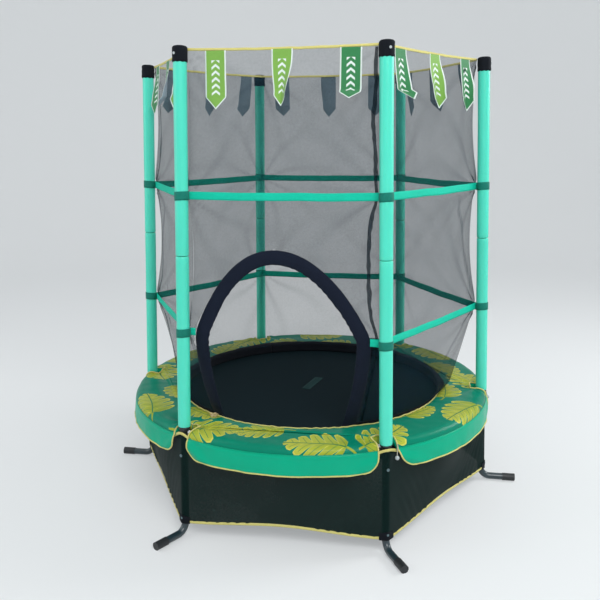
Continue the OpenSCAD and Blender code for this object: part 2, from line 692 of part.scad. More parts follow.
module pad_foam()
    color("#d8d8d0") difference() {
        rotate_extrude($fn = 180) polygon(pad_section(cover_t + touch));
        for (i = [0 : pole_n - 1]) notch(i, cover_t);
    }

module pad_piping() {
    lift = pad_t / 2 + piping_d / 2 + touch;
    turn = asin((notch_w / 2 + notch_r) / (pad_outer_r + flap_flare));
    color("#cfd08c") {
        translate([0, 0, pad_mid]) rotate_extrude($fn = 180)
            translate([pad_inner_r + pad_t / 2 + lift * cos(135), lift * sin(135)]) circle(d = piping_d, $fn = 24);
        for (i = [0 : pole_n - 1]) rotate([0, 0, pole_a(i) + turn])
            translate([0, 0, flap_low - piping_d / 2 - touch]) rotate_extrude(angle = panel_step - 2 * turn, $fn = 180)
                translate([pad_outer_r + flap_flare - cover_t / 2, 0]) circle(d = piping_d, $fn = 24);
    }
}

// A ball on a short cord: two hang outside by the poles at the right, the others inside the skirt
outer_ties = [1, 2];
tie_in = 55;         // from the rail's middle in to an inner ball
tie_out = 54;        // and out to an outer one, clear of the skirt
inner_tie_r = rail_r - tie_in;
tie_side = 6;        // from a notch's edge to the middle of its ball
module pad_ties()
    color("white") for (i = [0 : pole_n - 1]) rotate([0, 0, pole_a(i)]) {
        outside = len(search(i, outer_ties)) > 0;
        ball = outside
            ? [rail_r + tie_out, notch_w / 2 - tie_side, flap_low + notch_r]
            : [inner_tie_r, 0, rail_z - ball_d];
        top = outside
            ? [pad_outer_r + tie_d + touch, notch_w / 2, crease_z - cover_t]
            : [inner_tie_r, 0, pad_low - touch];
        translate(ball) sphere(d = ball_d);
        rod(ball, top, tie_d);
    }

// ---------------------------------------------------------------- skirt
skirt_rows = 5;
module skirt() {
    function level(a, j) = mix(skirt_low(a), skirt_top, j / skirt_rows);
    function at(a, z, out) = let (r = skirt_r(a, z) + out) [r * cos(a), r * sin(a), z];
    rings = [for (a = ring_dirs) concat(
        [for (j = [skirt_rows : -1 : 0]) at(a, level(a, j), skirt_t)],
        [for (j = [0 : skirt_rows]) at(a, level(a, j), 0)])];
    color("#12312f") difference() {
        band_solid(rings);
        for (i = [0 : pole_n - 1]) on_pole(i, leg_bolt_z) rotate([0, 90, 0]) cylinder(d = cloth_hole, h = bolt_cut);
    }
}

module binding_band(from_top) {
    spare = (binding_t - skirt_t) / 2;
    rings = [for (a = ring_dirs)
        let (low = from_top ? skirt_top + touch : skirt_low(a) - binding_w - touch,
             r = skirt_r(a, from_top ? skirt_top : skirt_low(a)))
        [for (p = [[r + skirt_t + spare, low + binding_w], [r + skirt_t + spare, low],
                   [r - spare, low], [r - spare, low + binding_w]]) [p[0] * cos(a), p[0] * sin(a), p[1]]]];
    band_solid(rings);
}

module skirt_binding()
    color("#c9cc7c") {
        binding_band(true);
        binding_band(false);
    }

module skirt_snaps()
    color("white") for (i = [0 : pole_n - 1]) on_pole(i, skirt_low_z + snap_d)
        rotate([0, 90, 0]) translate([0, 0, wrap_r + skirt_t + touch]) cylinder(d = snap_d, h = head_h);

for (k = [0 : 2]) rail_section(k);
for (i = [0 : pole_n - 1]) {
    leg(i);
    pole_lower(i);
    pole_upper(i);
    foam_sleeves(i);
    pennants(i);
    if (i > 0) net_panel(i);
}
net_door_panel();
door_arch();
net_top_cord();
corner_pockets();
pole_end_caps();
upper_strap();
lower_strap();
jump_mat();
mat_rings();
bungee_loops();
pad_cover();
pad_foam();
pad_piping();
skirt();
skirt_binding();
foot_tips();
rail_saddles();
rail_bolts();
pole_bolts();
pocket_rivets();
pad_ties();
skirt_snaps();
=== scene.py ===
import math
import bmesh
import bpy
from mathutils import Matrix, Vector, noise


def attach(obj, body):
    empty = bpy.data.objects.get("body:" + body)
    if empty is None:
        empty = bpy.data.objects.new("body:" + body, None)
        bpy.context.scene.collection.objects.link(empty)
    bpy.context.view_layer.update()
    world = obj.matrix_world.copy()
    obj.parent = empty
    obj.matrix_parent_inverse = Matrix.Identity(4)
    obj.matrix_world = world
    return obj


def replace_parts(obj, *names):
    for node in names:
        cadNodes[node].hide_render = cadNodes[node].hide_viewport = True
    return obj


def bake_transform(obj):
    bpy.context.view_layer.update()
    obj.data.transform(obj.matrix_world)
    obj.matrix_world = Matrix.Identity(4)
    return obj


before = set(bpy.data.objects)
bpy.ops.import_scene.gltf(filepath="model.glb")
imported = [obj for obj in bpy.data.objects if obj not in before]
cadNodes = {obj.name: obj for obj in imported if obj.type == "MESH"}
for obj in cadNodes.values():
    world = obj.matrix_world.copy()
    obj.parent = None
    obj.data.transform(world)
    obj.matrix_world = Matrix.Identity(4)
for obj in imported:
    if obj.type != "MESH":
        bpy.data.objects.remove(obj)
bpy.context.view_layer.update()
print("frame loaded:", len(cadNodes), "nodes")

# sizes that the pieces share, in metres and degrees
layout = dict(lean=2.17, poleFootR=0.678694, topZ=1.590, jointZ=0.955, railR=0.638, railZ=0.335, tubeR=0.0125,
              upperZ=1.143, lowerZ=0.698, netFootZ=0.3555, netFootR=0.499, netTopZ=1.5774, padTopZ=0.3755,
              cordZ=1.581)
lean = math.radians(layout["lean"])
halfPanel = math.radians(30)


def poleAngle(i):
    return math.radians(-120 + 60 * i)


def panelAngle(i):
    return poleAngle(i) + halfPanel


def panelTurn(i):
    return Matrix.Rotation(panelAngle(i), 3, "Z")


def poleR(z):
    return layout["poleFootR"] - z * math.tan(lean)


def polar(r, a, z):
    return Vector((r * math.cos(a), r * math.sin(a), z))


def onPole(i, z):
    return (Matrix.Rotation(poleAngle(i), 4, "Z") @ Matrix.Translation((poleR(z), 0, z))
            @ Matrix.Rotation(-lean, 4, "Y"))


def mix(a, b, k):
    return a + (b - a) * k


def smooth(k):
    k = min(1, max(0, k))
    return k * k * (3 - 2 * k)


def ripple(x, y, z=0.0):
    return noise.noise(Vector((x, y, z)))


# ---- small modelling helpers
def finishPiece(name, bm, material, body="frame"):
    mesh = bpy.data.meshes.new(name)
    bm.to_mesh(mesh)
    bm.free()
    for face in mesh.polygons:
        face.use_smooth = True
    piece = bpy.data.objects.new(name, mesh)
    bpy.context.collection.objects.link(piece)
    mesh.materials.append(material)
    if body:
        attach(piece, body)
    return piece


def gridInto(bm, across, along, place, size=(1, 1), weld=False):
    # a grid laid out flat, given its cloth coordinates, then carried to its place
    before = set(bm.verts)
    bmesh.ops.create_grid(bm, x_segments=across, y_segments=along, size=0.5)
    verts = [v for v in bm.verts if v not in before]
    uvLayer = bm.loops.layers.uv.get("cloth") or bm.loops.layers.uv.new("cloth")
    for face in {f for v in verts for f in v.link_faces}:
        for corner in face.loops:
            corner[uvLayer].uv = ((corner.vert.co.x + 0.5) * size[0], (corner.vert.co.y + 0.5) * size[1])
    for v in verts:
        v.co = place(v.co.x + 0.5, v.co.y + 0.5)
    if weld:
        bmesh.ops.remove_doubles(bm, verts=verts, dist=1e-5)
    return verts


def cornersOf(bm):
    layer = bm.loops.layers.uv["cloth"]
    for face in bm.faces:
        for corner in face.loops:
            yield corner.vert.co, corner[layer]


def lengthOf(points):
    return sum((b - a).length for a, b in zip(points, points[1:]))


def evened(points, times):
    # a line with its inner points averaged over their neighbours again and again
    for again in range(times):
        inner = [(a + 2 * b + c) / 4 for a, b, c in zip(points, points[1:], points[2:])]
        points = points[:1] + inner + points[-1:]
    return points


def sweepInto(bm, points, wide, thick=None, sides=8, closed=False, up=Vector((0, 0, 1))):
    # a tube or flat band carried along a line; wide and thick are half sizes or functions of 0..1
    thick = wide if thick is None else thick
    count = len(points)
    steps = count if closed else count - 1
    total = lengthOf(points)

    def at(u, v):
        k = min(int(round(v * steps)), steps)
        p = points[k % count]
        before = points[(k - 1) % count] if closed or k > 0 else p
        after = points[(k + 1) % count] if closed or k < count - 1 else p
        way = (after - before).normalized()
        side = way.cross(up(v) if callable(up) else up).normalized()
        rise = side.cross(way)
        w = wide(v) if callable(wide) else wide
        t = thick(v) if callable(thick) else thick
        a = 2 * math.pi * u
        return p + side * (w * math.cos(a)) + rise * (t * math.sin(a))

    verts = gridInto(bm, sides, steps, at, (0.02, total), weld=True)
    if not closed:
        edges = {e for v in verts if v.is_valid for e in v.link_edges if e.is_boundary}
        bmesh.ops.holes_fill(bm, edges=list(edges), sides=sides)


def spinInto(bm, profile, place=Matrix(), steps=32):
    # a profile of (radius, height) pairs spun once round, then carried to its place
    before = set(bm.verts)
    line = [bm.verts.new((r, 0, z)) for r, z in profile]
    edges = [bm.edges.new(pair) for pair in zip(line, line[1:])]
    bmesh.ops.spin(bm, geom=line + edges, cent=(0, 0, 0), axis=(0, 0, 1), angle=2 * math.pi,
                   steps=steps, use_merge=True)
    verts = [v for v in bm.verts if v not in before]
    bmesh.ops.remove_doubles(bm, verts=verts, dist=1e-6)
    verts = [v for v in bm.verts if v not in before]
    faces = list({f for v in verts for f in v.link_faces})
    bmesh.ops.recalc_face_normals(bm, faces=faces)
    bmesh.ops.transform(bm, matrix=place, verts=verts)
    return verts


def outward(bm):
    bmesh.ops.recalc_face_normals(bm, faces=bm.faces)
    return bm


def thicken(piece, amount, offset=0):
    wall = piece.modifiers.new("wall", "SOLIDIFY")
    wall.thickness = amount
    wall.offset = offset
    return piece


# ---- camera, before the cords
view = dict(place=(0.436077, -2.737819, 1.317562), ahead=(-0.167489, 0.961572, -0.217546),
            right=(0.985383, 0.170245, -0.006149), lens=43.655)


def makeCamera():
    data = bpy.data.cameras.new("camera")
    data.lens = view["lens"]
    data.sensor_width = 36
    camera = bpy.data.objects.new("camera", data)
    bpy.context.collection.objects.link(camera)
    ahead = Vector(view["ahead"]).normalized()
    right = Vector(view["right"]).normalized()
    above = right.cross(ahead)
    turn = Matrix((right, above, -ahead)).transposed()
    camera.matrix_world = Matrix.Translation(view["place"]) @ turn.to_4x4()
    bpy.context.scene.camera = camera


makeCamera()
print("camera set")


# ---- shader helpers
class Term:
    # a number in a shader: plain arithmetic on it adds maths nodes
    def __init__(self, tree, socket):
        self.tree, self.socket = tree, socket

    def do(self, operation, *others):
        return calc(self.tree, operation, self, *others)

    def __add__(self, other):
        return self.do("ADD", other)

    def __sub__(self, other):
        return self.do("SUBTRACT", other)

    def __rsub__(self, other):
        return calc(self.tree, "SUBTRACT", other, self)

    def __mul__(self, other):
        return self.do("MULTIPLY", other)

    def __truediv__(self, other):
        return self.do("DIVIDE", other)

    def __pow__(self, other):
        return self.do("POWER", other)

    def __gt__(self, other):
        return self.do("GREATER_THAN", other)

    def __lt__(self, other):
        return self.do("LESS_THAN", other)

    def __abs__(self):
        return self.do("ABSOLUTE")


def link(tree, value, socket):
    value = value.socket if isinstance(value, Term) else value
    if isinstance(value, bpy.types.NodeSocket):
        tree.links.new(value, socket)
    else:
        socket.default_value = value


def put(tree, kind, settings=None, **values):
    node = tree.nodes.new("ShaderNode" + kind)
    for key, value in (settings or {}).items():
        setattr(node, key, value)
    for key, value in values.items():
        link(tree, value, node.inputs[key.replace("_", " ")])
    return node


def calc(tree, operation, *values):
    node = put(tree, "Math", dict(operation=operation))
    for value, socket in zip(values, node.inputs):
        link(tree, value, socket)
    return Term(tree, node.outputs[0])


def blend(tree, factor, a, b, way="MIX"):
    node = put(tree, "Mix", dict(data_type="RGBA", blend_type=way))
    link(tree, factor, node.inputs[0])
    for value, socket in ((a, node.inputs[6]), (b, node.inputs[7])):
        link(tree, (*value, 1) if isinstance(value, tuple) else value, socket)
    return node.outputs[2]


def twoParts(tree, coords):
    split = put(tree, "SeparateXYZ", Vector=coords)
    return Term(tree, split.outputs[0]), Term(tree, split.outputs[1])


def noiseOf(tree, coords, scale, detail=2.0, rough=0.5):
    node = put(tree, "TexNoise", Vector=coords, Scale=scale, Detail=detail, Roughness=rough)
    return Term(tree, node.outputs[0])


def newGroup(name, inputs, outputs):
    tree = bpy.data.node_groups.new(name, "ShaderNodeTree")
    tree.interface.new_socket("Coords", in_out="INPUT", socket_type="NodeSocketVector")
    for label, value in inputs.items():
        tree.interface.new_socket(label, in_out="INPUT", socket_type="NodeSocketFloat").default_value = value
    for label in outputs:
        tree.interface.new_socket(label, in_out="OUTPUT", socket_type="NodeSocketFloat")
    return tree, {socket.name: Term(tree, socket) for socket in tree.nodes.new("NodeGroupInput").outputs}


def giveOut(tree, **values):
    out = tree.nodes.new("NodeGroupOutput")
    for label, value in values.items():
        link(tree, value, out.inputs[label])
    return tree


def useGroup(tree, group, **values):
    node = tree.nodes.new("ShaderNodeGroup")
    node.node_tree = group
    for key, value in values.items():
        link(tree, value, node.inputs[key])
    return {socket.name: Term(tree, socket) for socket in node.outputs}


def newMaterial(name, **sockets):
    material = bpy.data.materials.new(name)
    material.use_nodes = True
    tree = material.node_tree
    surface = tree.nodes["Principled BSDF"]
    for key, value in sockets.items():
        surface.inputs[key.replace("_", " ")].default_value = value
    return material, tree, surface


# ---- shared effects
def makeWeave():
    # plain weave: threads over and under, with a soft irregular slub
    tree, given = newGroup("threadWeave", dict(Threads=400.0, Slub=0.3), ("Height", "Shade"))
    warp, weft = ((part * given["Threads"] * math.pi).do("SINE") for part in twoParts(tree, given["Coords"]))
    slub = noiseOf(tree, given["Coords"], 90.0)
    height = warp * weft * 0.5 + 0.5 + (slub - 0.5) * given["Slub"]
    return giveOut(tree, Height=height, Shade=height * 0.35 + 0.8)


def makeWear():
    # slow mottling, fine grain and faint dust, for colour and roughness
    tree, given = newGroup("softWear", dict(Size=6.0, Amount=0.15), ("Shade", "Rough", "Grain"))
    slow = noiseOf(tree, given["Coords"], given["Size"], 3.0, 0.6)
    fine = noiseOf(tree, given["Coords"], 420.0)
    uneven = (slow - 0.5) * given["Amount"] + (fine - 0.5) * (given["Amount"] * 0.4)
    return giveOut(tree, Shade=uneven + 1.0, Rough=uneven, Grain=fine)


def makeLeaf():
    # one printed leaf: a broad blade cut by slits that run out and forwards, with a midrib and a stem
    tree, given = newGroup("printedLeaf", dict(FootX=0.0, FootY=0.0, Turn=0.0, Length=0.15, Slits=6.0),
                           ("Leaf", "Rim", "Vein", "Glow"))
    east, north = twoParts(tree, given["Coords"])
    dx, dy = east - given["FootX"], north - given["FootY"]
    c, s = given["Turn"].do("COSINE"), given["Turn"].do("SINE")
    x = (dx * c + dy * s) / given["Length"]
    y = (dy * c - dx * s) / given["Length"] - x * x * 0.16
    off = abs(y)
    xIn = x.do("MAXIMUM", 0.0001).do("MINIMUM", 0.9999)
    share = off / (xIn ** 0.36 * (1.0 - xIn) ** 0.62 * 0.80)
    fromSlit = abs(((x - off * 0.62) * given["Slits"] + (y > 0.0) * 0.37).do("FRACT") - 0.5)
    # every lobe has a round end
    limit = (fromSlit * 2.0) ** 0.6 * 0.24 + 0.76
    clear = fromSlit - (share - 0.24) * 0.24
    blade = (share < limit) * (x > 0.0) * (x < 1.0) * (clear > 0.0)
    stem = (abs(y - x * x * 1.1) < 0.021) * (x > -0.24) * (x < 0.02)
    leaf = blade.do("MAXIMUM", stem)
    nearRim = (share > limit - 0.10).do("MAXIMUM", clear < 0.05)
    vein = (off < 0.011).do("MAXIMUM", (fromSlit > 0.475) * (share < 0.72))
    return giveOut(tree, Leaf=leaf, Rim=blade * nearRim, Vein=blade * vein, Glow=leaf * x)


weaveGroup = makeWeave()
wearGroup = makeWear()
leafGroup = makeLeaf()


def objectCoords(tree):
    return put(tree, "TexCoord").outputs["Object"]


def clothCoords(tree, name="cloth"):
    return put(tree, "UVMap", dict(uv_map=name)).outputs[0]


def bumpOf(tree, surface, height, depth, strength=1.0):
    bump = put(tree, "Bump", Strength=strength, Distance=depth, Height=height)
    tree.links.new(bump.outputs[0], surface.inputs["Normal"])


def tint(tree, surface, color, shade):
    grey = put(tree, "CombineColor", Red=shade, Green=shade, Blue=shade).outputs[0]
    link(tree, blend(tree, 1.0, color, grey, "MULTIPLY"), surface.inputs["Base Color"])


def worn(tree, surface, color, size, amount, rough):
    # colour and roughness under wear; gives back its grain
    wear = useGroup(tree, wearGroup, Coords=objectCoords(tree), Size=size, Amount=amount)
    tint(tree, surface, color, wear["Shade"])
    link(tree, wear["Rough"] + rough, surface.inputs["Roughness"])
    return wear["Grain"]


def clothMaterial(name, color, threads=700.0, rough=0.8, depth=0.0003, sheen=0.12, slub=0.4, gloss=0.18,
                  uv=True):
    material, tree, surface = newMaterial(name, Roughness=rough, Sheen_Weight=sheen, Sheen_Roughness=0.5,
                                          Specular_IOR_Level=gloss)
    coords = clothCoords(tree) if uv else objectCoords(tree)
    weave = useGroup(tree, weaveGroup, Coords=coords, Threads=threads, Slub=slub)
    wear = useGroup(tree, wearGroup, Coords=objectCoords(tree), Size=9.0, Amount=0.2)
    tint(tree, surface, color, weave["Shade"] * wear["Shade"])
    bumpOf(tree, surface, weave["Height"], depth)
    return material


def steelMaterial(name, color, rough=0.35, metal=0.0, coat=0.3, amount=0.25, pits=0.0002):
    material, tree, surface = newMaterial(name, Coat_Weight=coat, Coat_Roughness=0.25, Metallic=metal)
    bumpOf(tree, surface, worn(tree, surface, color, 14.0, amount, rough), pits)
    return material


def foamSkinMaterial():
    # glossy plastic skin pulled tight on a foam tube
    material, tree, surface = newMaterial("foamSkin", Coat_Weight=0.4, Coat_Roughness=0.22,
                                          Specular_IOR_Level=0.35, Subsurface_Weight=0.08,
                                          Subsurface_Scale=0.004)
    worn(tree, surface, (0.070, 0.70, 0.52), 5.0, 0.14, 0.42)
    cells = put(tree, "TexVoronoi", Vector=objectCoords(tree), Scale=260.0)
    bumpOf(tree, surface, cells.outputs[0], 0.0004, 0.35)
    return material


def netMaterial(name, color, cover, swing, threads):
    # open mesh: fine crossed threads, mostly air
    material, tree, surface = newMaterial(name, Roughness=0.75, Specular_IOR_Level=0.12)
    x, y = twoParts(tree, clothCoords(tree))
    waves = [abs((way * (threads * math.pi)).do("SINE")) for way in (x + y, x - y)]
    hole = waves[0] * waves[1]
    marked = put(tree, "Attribute", dict(attribute_name="fold", attribute_type="GEOMETRY"))
    fold = Term(tree, marked.outputs["Fac"])
    drift = noiseOf(tree, objectCoords(tree), 4.0)
    grain = noiseOf(tree, objectCoords(tree), 170.0, 1.0)
    alpha = cover + swing * 0.4 - hole * swing + fold * 0.26 + (drift - 0.5) * 0.08 + (grain - 0.5) * swing
    link(tree, alpha.do("MAXIMUM", 0.05).do("MINIMUM", 0.985), surface.inputs["Alpha"])
    dark = tuple(c * 0.45 for c in color)
    link(tree, blend(tree, hole, dark, color), surface.inputs["Base Color"])
    return material


# leaves printed on a third of the pad: the foot's radius, its place round in degrees, the turn from there,
# the length
padPrint = dict(ground=(0.0005, 0.205, 0.125), flap=(0.0005, 0.375, 0.215), leaf=(0.30, 0.37, 0.030),
                rim=(0.58, 0.57, 0.085), vein=(0.03, 0.19, 0.07), glow=0.6,
                leaves=[(0.672, 2, 25, 0.205), (0.516, 27, -10, 0.140), (0.668, 51, 155, 0.196),
                        (0.540, 54, 6, 0.150), (0.674, 67, 27, 0.208), (0.530, 98, 192, 0.160),
                        (0.670, 117, 153, 0.198)])


def leafPrint(tree, ground):
    marks = clothCoords(tree, "print")
    total = {}
    for reach, degrees, turn, size in padPrint["leaves"]:
        foot = polar(reach, math.radians(degrees), 0)
        leaf = useGroup(tree, leafGroup, Coords=marks, FootX=foot.x, FootY=foot.y, Length=size,
                        Turn=math.radians(degrees + 90 + turn), Slits=3.2 + 8 * size)
        total = {label: value.do("MAXIMUM", total.get(label, 0.0)) for label, value in leaf.items()}
    bright = tuple(mix(a, b, padPrint["glow"]) for a, b in zip(padPrint["leaf"], padPrint["rim"]))
    inner = blend(tree, total["Glow"], padPrint["leaf"], bright)
    for label in ("Rim", "Vein"):
        inner = blend(tree, total[label], inner, padPrint[label.lower()])
    return blend(tree, total["Leaf"], ground, inner)


def vinylMaterial(name, printed):
    material, tree, surface = newMaterial(name, Coat_Weight=0.10 if printed else 0.16, Coat_Roughness=0.12,
                                          Specular_IOR_Level=0.08)
    color = leafPrint(tree, padPrint["ground"]) if printed else padPrint["flap"]
    worn(tree, surface, color, 7.0, 0.16, 0.36)
    grain = put(tree, "TexVoronoi", dict(feature="DISTANCE_TO_EDGE"), Vector=objectCoords(tree), Scale=520.0)
    bumpOf(tree, surface, grain.outputs[0], 0.0003, 0.5)
    return material


def pennantMaterial(name, color):
    # printed cloth with a white edge and a row of plain chevrons
    material, tree, surface = newMaterial(name, Roughness=0.65, Sheen_Weight=0.2, Specular_IOR_Level=0.35)
    coords = clothCoords(tree)
    x, down = twoParts(tree, coords)
    off = abs(x)
    border = off + (down - 0.137).do("MAXIMUM", 0.0) * 0.855 > 0.0282
    zig = ((down - off * 0.8) / 0.019).do("FRACT")
    marks = (zig < 0.42) * (off < 0.0125) * (down > 0.028) * (down < 0.132)
    weave = useGroup(tree, weaveGroup, Coords=coords, Threads=900.0, Slub=0.3)
    printed = blend(tree, border.do("MAXIMUM", marks), color, (0.72, 0.80, 0.76))
    tint(tree, surface, printed, weave["Shade"])
    bumpOf(tree, surface, weave["Height"], 0.0002)
    return material


paints = dict(
    railSteel=steelMaterial("railSteel", (0.016, 0.020, 0.026), 0.4),
    legSteel=steelMaterial("legSteel", (0.012, 0.030, 0.040), 0.34, coat=0.5),
    poleSteel=steelMaterial("poleSteel", (0.010, 0.014, 0.018), 0.4),
    zinc=steelMaterial("zinc", (0.55, 0.57, 0.60), 0.33, metal=1.0, coat=0.0),
    blackPlastic=steelMaterial("blackPlastic", (0.014, 0.017, 0.020), 0.5, coat=0.0, amount=0.35,
                               pits=0.0003),
    whitePlastic=steelMaterial("whitePlastic", (0.42, 0.47, 0.48), 0.35, coat=0.1, amount=0.10),
    greyPlastic=steelMaterial("greyPlastic", (0.10, 0.16, 0.18), 0.45, coat=0.0, amount=0.10),
    foamSkin=foamSkinMaterial(),
    net=netMaterial("net", (0.003, 0.030, 0.050), 0.35, 0.12, 300.0),
    seamNet=netMaterial("seamNet", (0.004, 0.008, 0.016), 0.86, 0.20, 120.0),
    skirtNet=netMaterial("skirtNet", (0.0004, 0.016, 0.014), 0.972, 0.04, 260.0),
    blackCloth=clothMaterial("blackCloth", (0.007, 0.009, 0.013), 900.0, sheen=0.02, gloss=0.1),
    bindingCloth=clothMaterial("bindingCloth", (0.008, 0.012, 0.025), 900.0, sheen=0.03, gloss=0.1),
    matCloth=clothMaterial("matCloth", (0.006, 0.014, 0.018), 520.0, 0.75, 0.0003, sheen=0.0, gloss=0.05,
                           uv=False),
    webbing=clothMaterial("webbing", (0.002, 0.56, 0.38), 620.0, 0.6, 0.0005, sheen=0.0, slub=0.5, gloss=0.2),
    loopWebbing=clothMaterial("loopWebbing", (0.005, 0.19, 0.14), 620.0, 0.6, 0.0005, sheen=0.04, slub=0.5),
    tape=clothMaterial("tape", (0.66, 0.60, 0.20), 800.0, 0.7, 0.0003),
    elastic=clothMaterial("elastic", (0.02, 0.022, 0.026), 500.0, 0.8, 0.0004),
    printedVinyl=vinylMaterial("printedVinyl", True),
    plainVinyl=vinylMaterial("plainVinyl", False),
    paleGreen=pennantMaterial("paleGreen", (0.19, 0.40, 0.065)),
    deepGreen=pennantMaterial("deepGreen", (0.022, 0.20, 0.062)),
    lace=clothMaterial("lace", (0.66, 0.50, 0.27), 1200.0, 0.8, 0.0003),
    # the pennants' backs: a pale bluish painted glow that stands in for light shining through the cloth
    pennantBackPaintedGlow=clothMaterial("pennantBackPaintedGlow", (0.33, 0.42, 0.49), 900.0, 0.75, 0.0002),
    twine=clothMaterial("twine", (0.42, 0.40, 0.33), 900.0, 0.85, 0.0003),
)
print("materials made:", len(paints))


def dress(names, material):
    for name in names:
        node = cadNodes[name]
        node.data.materials.clear()
        node.data.materials.append(material)


def numbered(name):
    return [f"{name}_{i}" for i in range(1, 7)]


dress(["rail_section_1", "rail_section_2", "rail_section_3", "rail_saddles"], paints["railSteel"])
dress(numbered("leg"), paints["legSteel"])
dress(numbered("pole_lower") + numbered("pole_upper"), paints["poleSteel"])
dress(["rail_bolts"], paints["zinc"])
dress(["foot_tips", "pole_end_caps"], paints["blackPlastic"])
dress(["pocket_rivets"], paints["whitePlastic"])
dress(["pole_bolts", "skirt_snaps"], paints["greyPlastic"])
print("frame dressed")

# ---- cords with balls that tie the pad down
ties = dict(cordD=0.003, ballD=0.014, sag=0.0012, steps=16, outerPoles=(1, 2),
            outer=((0.6811, 0.033, 0.3725), (0.692, 0.027, 0.330)),
            inner=((0.583, 0.0, 0.3534), (0.583, 0.0, 0.321)))


def makeTies():
    balls = []
    for i in range(6):
        turn = Matrix.Rotation(poleAngle(i), 4, "Z")
        top, ball = (turn @ Vector(p) for p in ties["outer" if i in ties["outerPoles"] else "inner"])
        shares = [k / ties["steps"] for k in range(ties["steps"] + 1)]
        points = [top.lerp(ball, k) - Vector((0, 0, ties["sag"] * math.sin(math.pi * k))) for k in shares]
        side = turn @ Vector((0, 1, 0))
        bm = bmesh.new()
        sweepInto(bm, points, ties["cordD"] / 2, sides=8, up=side)
        cord = finishPiece(f"tieCord_{i + 1}", outward(bm), paints["twine"])
        r = ties["ballD"] / 2
        arc = [math.radians(a) for a in range(12, 180, 12)]
        profile = [(0, r)] + [(r * math.sin(a), r * math.cos(a)) for a in arc] + [(0, -r)]
        bm = bmesh.new()
        spinInto(bm, profile, Matrix.Translation(ball), 20)
        bead = finishPiece(f"tieBall_{i + 1}", bm, paints["whitePlastic"])
        balls += [cord, bead]
        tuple(top)
        lengthOf(points)
    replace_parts(balls[0], "pad_ties")


makeTies()
print("ties made")

# ---- foam sleeves on the poles
sleeve = dict(low=0.3695, raised={0: 0.388}, jointGap=0.0007, top=1.5838, outer=0.021, bore=0.0111,
              lip=0.0028, seam=0.0004, seamAt=2.2)


def sleeveLow(i):
    return sleeve["raised"].get(i, sleeve["low"])


def makeSleeves():
    for i in range(6):
        bm = bmesh.new()
        for part, (z0, z1) in enumerate(((sleeveLow(i), layout["jointZ"] - sleeve["jointGap"]),
                                         (layout["jointZ"] + sleeve["jointGap"], sleeve["top"]))):
            tall = (z1 - z0) / math.cos(lean)
            r, b, lip = sleeve["outer"], sleeve["bore"], sleeve["lip"]
            profile = [(b, 0.001), (b + 0.002, 0), (r - lip, 0), (r - lip * 0.3, lip * 0.3), (r, lip)]
            profile += [(r, tall * k / 30) for k in range(1, 30)]
            profile += [(r, tall - lip), (r - lip * 0.3, tall - lip * 0.3), (r - lip, tall)]
            profile += [(b + 0.002, tall), (b, tall - 0.001)]
            verts = spinInto(bm, profile, steps=36)
            for v in verts:
                a = math.atan2(v.co.y, v.co.x)
                reach = math.hypot(v.co.x, v.co.y)
                if reach > r * 0.8:
                    swell = 0.0005 * ripple(math.cos(a) * 1.5 + 7 * i, math.sin(a) * 1.5,
                                            v.co.z * 9 + 3 * part)
                    slit = -sleeve["seam"] * math.exp(-((a - sleeve["seamAt"]) / 0.06) ** 2)
                    v.co.xy *= 1 + (swell + slit) / reach
            bmesh.ops.transform(bm, matrix=onPole(i, z0), verts=verts)
        piece = finishPiece(f"foamSleeves_{i + 1}", bm, paints["foamSkin"])
        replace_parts(piece, f"foam_sleeves_{i + 1}")


makeSleeves()
print("sleeves made")

# ---- black collars under the sleeves
collar = dict(low=0.3612, raised={0: 0.3732}, gap=0.0008, bore=0.0112, lowR=0.0150, highR=0.0195)


def makeCollars():
    bm = bmesh.new()
    for i in range(6):
        low = collar["raised"].get(i, collar["low"])
        tall = sleeveLow(i) - collar["gap"] - low
        profile = [(collar["bore"], 0), (collar["lowR"], 0), (collar["lowR"] + 0.001, 0.002),
                   (collar["highR"], tall - 0.003), (collar["highR"] - 0.0005, tall), (collar["bore"], tall)]
        spinInto(bm, profile + profile[:1], onPole(i, low), 32)
    finishPiece("poleCollars", bm, paints["blackPlastic"])


makeCollars()
print("collars made")

# ---- the net
net = dict(thick=0.0015, roundTop=0.12, roundMid=0.2, draw=0.022, loopR=0.0228, gap=0.001, belly=0.32,
           bellyLow=0.3795, bellyHigh=0.3935, middleZ=0.9,
           # creases: panel, then from and to as place across (-1 to 1) and height, and how strong
           creases=[(1, 0.60, 1.135, 0.96, 0.745, 0.7), (1, 0.93, 0.680, 0.42, 0.520, 0.5),
                    (5, -0.62, 1.110, -0.90, 0.740, 0.6), (5, -0.93, 0.680, -0.30, 0.440, 0.6)])


def strapOut(z):
    return (poleR(z) - net["loopR"] + 0.00075) * math.cos(halfPanel)


def hexN(z):
    return strapOut(z) - 0.0015 - net["gap"] - net["thick"]


def panelHalf(z):
    return hexN(z) / math.cos(halfPanel) / 2


def roundness(z):
    top, upper, lower = layout["netTopZ"], layout["upperZ"], layout["lowerZ"]
    if z >= upper:
        return net["roundTop"] * math.sin(math.pi * (z - upper) / (top - upper))
    if z >= lower:
        return net["roundMid"] * math.sin(math.pi * (z - lower) / (upper - lower))
    return min(1, (layout["lowerZ"] - z) / (layout["lowerZ"] - layout["padTopZ"]))


def bellyRoundness(z):
    # away from the doorway the net lies out over the pad before it climbs
    if z >= layout["lowerZ"]:
        return roundness(z)
    if z > net["bellyHigh"]:
        return mix(0, 1 - net["belly"], (layout["lowerZ"] - z) / (layout["lowerZ"] - net["bellyHigh"]))
    return 1 - net["belly"] * smooth((z - net["bellyLow"]) / (net["bellyHigh"] - net["bellyLow"]))


def bellyAt(i, u):
    start, end = (1 if k % 6 > 1 else 0 for k in (i, i + 1))
    return mix(start, end, (1 + u) / 2)


